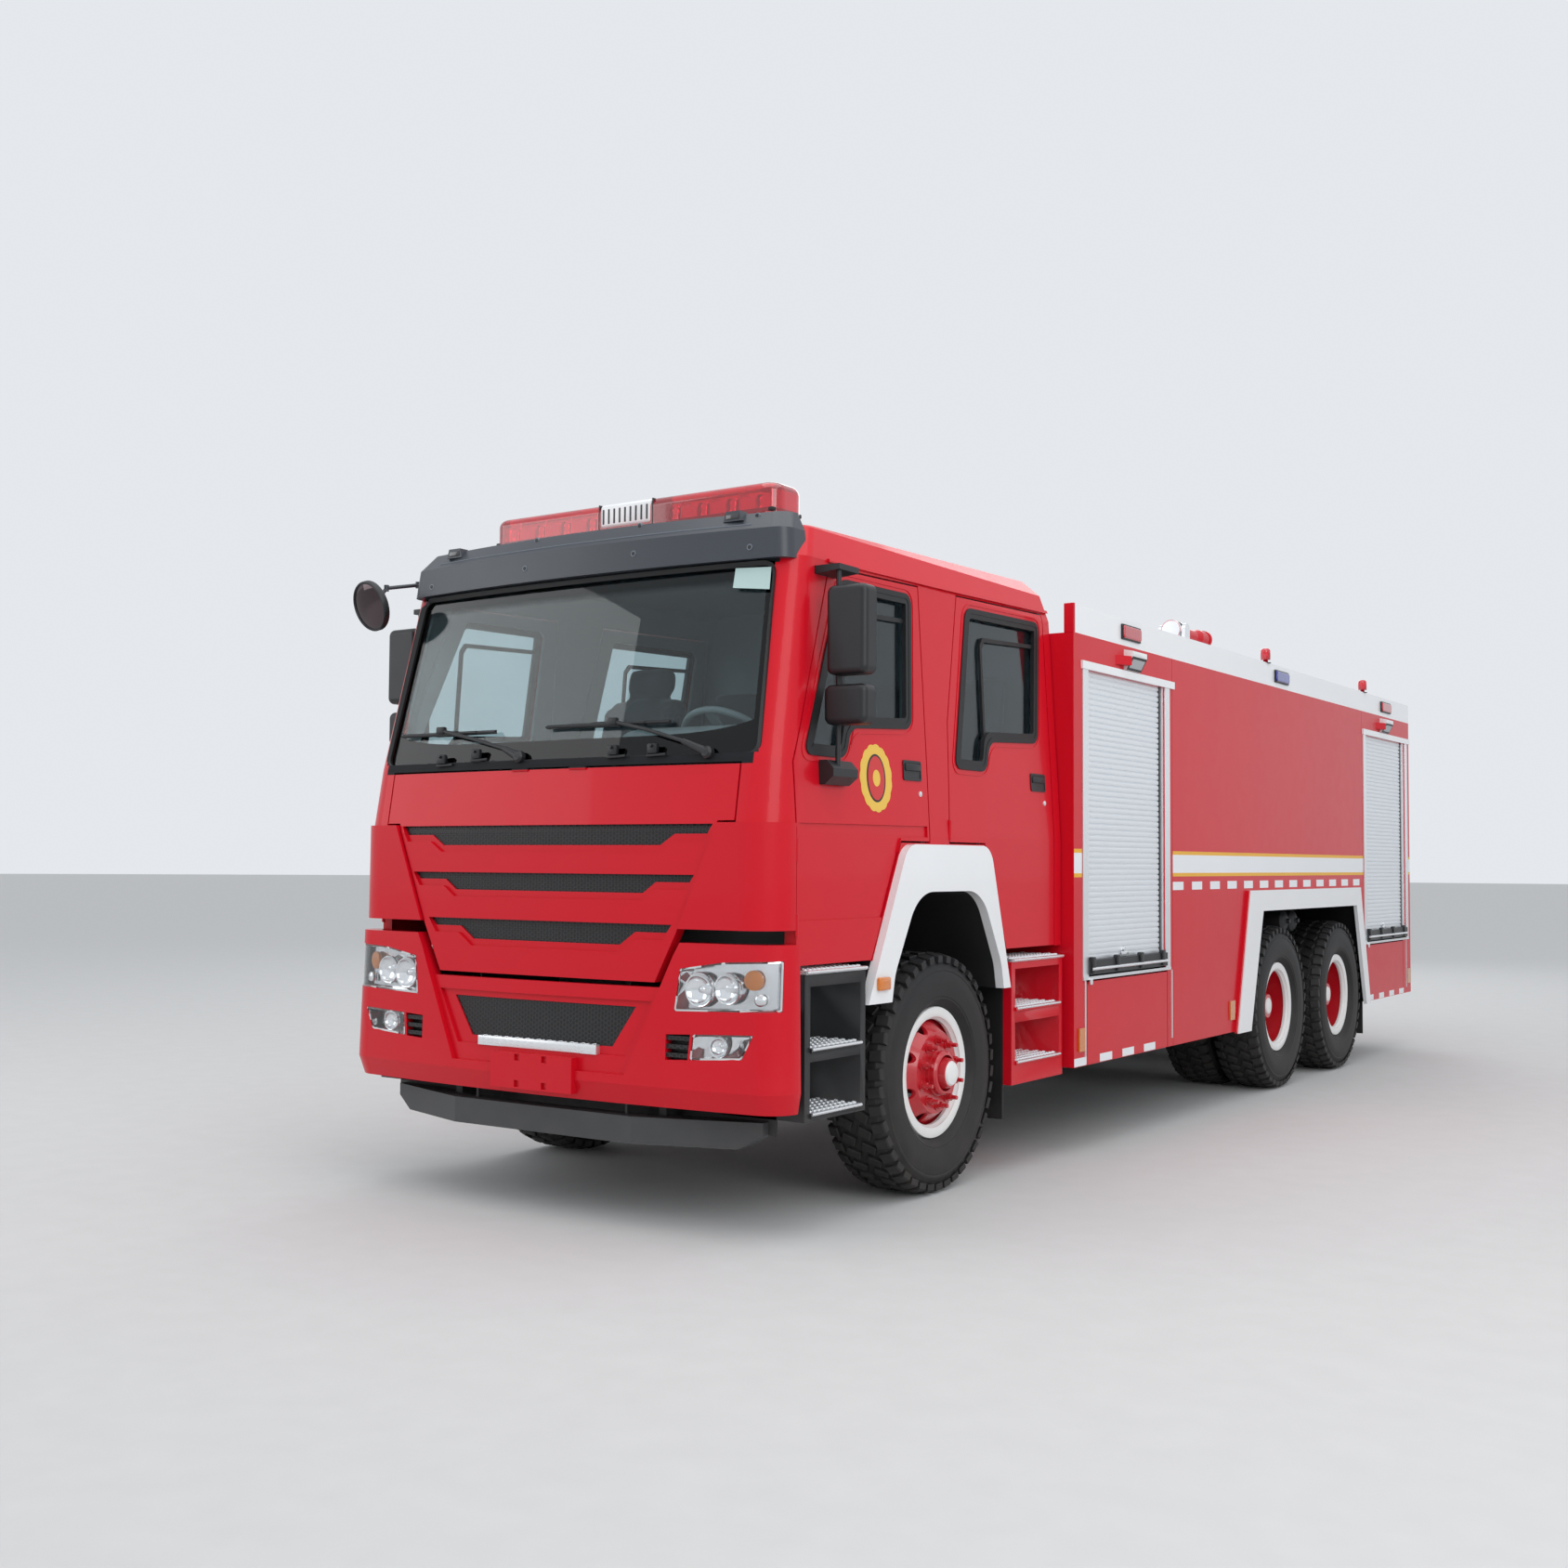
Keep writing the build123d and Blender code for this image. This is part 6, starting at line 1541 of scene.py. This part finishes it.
def seat_pad(part):
    mesh = bpy.data.meshes.new("pad")
    part.to_mesh(mesh)
    part.free()
    piece = bpy.data.objects.new("pad", mesh)
    scene = bpy.context.scene
    scene.collection.objects.link(piece)
    remesh = piece.modifiers.new("remesh", "REMESH")
    remesh.mode = "VOXEL"
    remesh.voxel_size = PAD_VOXEL
    piece.data = frozen(piece)
    rest = [vert.co.copy() for vert in piece.data.vertices]
    cloth_settings = piece.modifiers.new("swell", "CLOTH").settings
    cloth_settings.quality = 4
    cloth_settings.use_pressure = True
    cloth_settings.uniform_pressure_force = PAD_PRESSURE
    cloth_settings.effector_weights.gravity = 0.0
    cloth_settings.tension_stiffness = 12
    for frame_number in range(1, PAD_FRAMES + 1):
        scene.frame_set(frame_number)
    piece.data = frozen(piece)
    for vert, start in zip(piece.data.vertices, rest):
        move = vert.co - start
        if move.length > PAD_CAP:
            vert.co = start + move.normalized() * PAD_CAP
    scene.frame_set(1)
    bm = bmesh.new()
    bm.from_mesh(piece.data)
    for _repeat in range(3):
        bmesh.ops.smooth_vert(bm, verts=bm.verts, factor=0.5, use_axis_x=True, use_axis_y=True, use_axis_z=True)
    bpy.data.objects.remove(piece)
    return bm


def leaning(across, aft, degrees):
    """The placing of a seat's back above its cushion."""
    foot = Matrix.Translation((across, back(aft), CAB_FLOOR + 0.330))
    return foot @ Matrix.Rotation(math.radians(degrees), 4, "X")


def front_seat(sign):
    """Cushion, leaning back with its side bolsters, and headrest."""
    middle = sign * SEAT_MIDDLE
    pads = bmesh.new()
    block(pads, around(middle, 0.245), (-0.640, -0.110), (CAB_FLOOR + 0.225, CAB_FLOOR + 0.365), 0.045, 4)
    lean = leaning(middle, -0.130, -9)
    box(pads, (-0.235, -0.065, 0.0), (0.235, 0.065, 0.560), 0.050, 4, placing=lean)
    for edge in (1, -1):
        box(pads, (-0.035, -0.080, 0.03), (0.035, 0.060, 0.500), 0.030, 4,
            placing=lean @ Matrix.Translation((edge * 0.205, -0.018, 0.0)))
    box(pads, (-0.140, -0.052, 0.585), (0.140, 0.052, 0.735), 0.042, 4, placing=lean)
    return pads


def bench_pads():
    pads = bmesh.new()
    for across in BENCH_PLACES:
        block(pads, around(across, 0.225), (0.500, 1.000), (CAB_FLOOR + 0.220, CAB_FLOOR + 0.350), 0.045, 4)
        box(pads, (-0.225, -0.055, 0.0), (0.225, 0.055, 0.700), 0.045, 4, placing=leaning(across, 1.000, -7))
    return pads


def add_seats():
    for name, pads in (("front_seat_left", front_seat(1)), ("front_seat_right", front_seat(-1)),
                       ("rear_bench", bench_pads())):
        piece = add_piece(name, seat_pad(pads), "seat_cloth", replaces=("cab_seats",), smooth=60)
    frames = bmesh.new()
    for sign in (1, -1):
        middle = sign * SEAT_MIDDLE
        block(frames, around(middle, 0.20), (-0.60, -0.14), (CAB_FLOOR + 0.001, CAB_FLOOR + 0.225), 0.02)
        for rod in (middle + 0.055, middle - 0.055):
            bar(frames, placed((rod, -0.055, CAB_FLOOR + 0.86)), placed((rod, -0.035, CAB_FLOOR + 0.95)), 0.007)
    block(frames, around(0, 0.96), (0.52, 1.02), (CAB_FLOOR + 0.001, CAB_FLOOR + 0.222), 0.015)
    add_piece("seat_frames", frames, "black_plastic")


add_seats()


# Monitor: bright flange bolts, and the bright and black bands round the thick end of its barrel.
MONITOR_AFT = 5.850
BOLT_CIRCLE = 0.092
BRIGHT_BANDS = (
    ((0.0, 0.0722), (0.073, 0.0715), (0.0790, 0.066), (0.0790, 0.035), (0.0770, 0.035)),
    ((0.0770, -0.031), (0.0790, -0.031), (0.0790, -0.088), (0.0770, -0.088), (0.0770, -0.031)),
)
BLACK_BAND = ((0.0770, 0.034), (0.0785, 0.034), (0.0785, -0.030), (0.0770, -0.030), (0.0770, 0.034))


def add_monitor_parts():
    low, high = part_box("monitor_barrel")
    pivot = placed((0.0, MONITOR_AFT, (low[2] + high[2]) / 2))
    silver, black, bolts = fresh(3)
    for band in BRIGHT_BANDS:
        turned(silver, band, pivot, AHEAD, 48)
    turned(black, BLACK_BAND, pivot, AHEAD, 48)
    for turn in ring_turns(8):
        place = (BOLT_CIRCLE * math.cos(turn), back(MONITOR_AFT) + BOLT_CIRCLE * math.sin(turn))
        bar(bolts, (*place, 3.0965), (*place, 3.0990), 0.008, sides=6)
    add_piece("monitor_bright_bands", silver, "bright_alloy", "monitor_barrel")
    add_piece("monitor_black_band", black, "black_rubber", "monitor_barrel")
    add_piece("monitor_bolts", bolts, "bright_alloy")


def add_rail_bolts():
    """Bolts along the frame rails."""
    bm = bmesh.new()
    for sign in (1, -1):
        for index in range(26):
            for height in (0.760, 0.980):
                turned(bm, ((0.0, 0.010), (0.010, 0.010), (0.011, 0.0)),
                       (sign * 0.430, back(-1.05 + 0.33 * index), height), (sign, 0, 0), 8)
    add_piece("rail_bolts", bm, "bar_grey")


add_monitor_parts()
add_rail_bolts()


# Studio: a wide pale floor under an even sky, one large soft light above, two in front and one behind.
LIGHTS = (
    # name, place, size, power
    ("overhead", (1.5, -3.0, 9.5), 10.0, 380.0), ("front_left", (9.5, -9.0, 6.0), 6.0, 300.0),
    ("front_right", (-9.0, -11.0, 5.0), 6.0, 160.0), ("behind", (-6.0, 13.0, 8.0), 8.0, 320.0),
)
LIGHT_AIM = Vector((0.0, 0.0, 1.2))
FLOOR_RADIUS = 160.0


def add_studio():
    scene = bpy.context.scene
    scene.view_settings.view_transform = "Standard"
    world = bpy.data.worlds.new("studio")
    scene.world = world
    world.use_nodes = True
    sky = world.node_tree.nodes["Background"]
    sky.inputs["Color"].default_value = (0.93, 0.96, 1.0, 1.0)
    sky.inputs["Strength"].default_value = 0.84
    bm = bmesh.new()
    bmesh.ops.create_circle(bm, cap_ends=True, segments=96, radius=FLOOR_RADIUS)
    mesh = bpy.data.meshes.new("floor")
    bm.to_mesh(mesh)
    bm.free()
    finish = bpy.data.materials.new("floor")
    finish.use_nodes = True
    tree = finish.node_tree
    surface = tree.nodes["Principled BSDF"]
    tone = mixed(tree, noise(tree, 6.0, 6.0), (0.56, 0.56, 0.555, 1.0), (0.61, 0.61, 0.605, 1.0))
    tree.links.new(tone, surface.inputs["Base Color"])
    surface.inputs["Roughness"].default_value = 0.85
    mesh.materials.append(finish)
    floor = bpy.data.objects.new("floor", mesh)
    scene.collection.objects.link(floor)
    for name, place, size, power in LIGHTS:
        data = bpy.data.lights.new(name, "AREA")
        data.size = size
        data.energy = power
        light = bpy.data.objects.new(name, data)
        turn = (LIGHT_AIM - Vector(place)).to_track_quat("-Z", "Y").to_matrix().to_4x4()
        light.matrix_world = Matrix.Translation(place) @ turn
        scene.collection.objects.link(light)


add_studio()
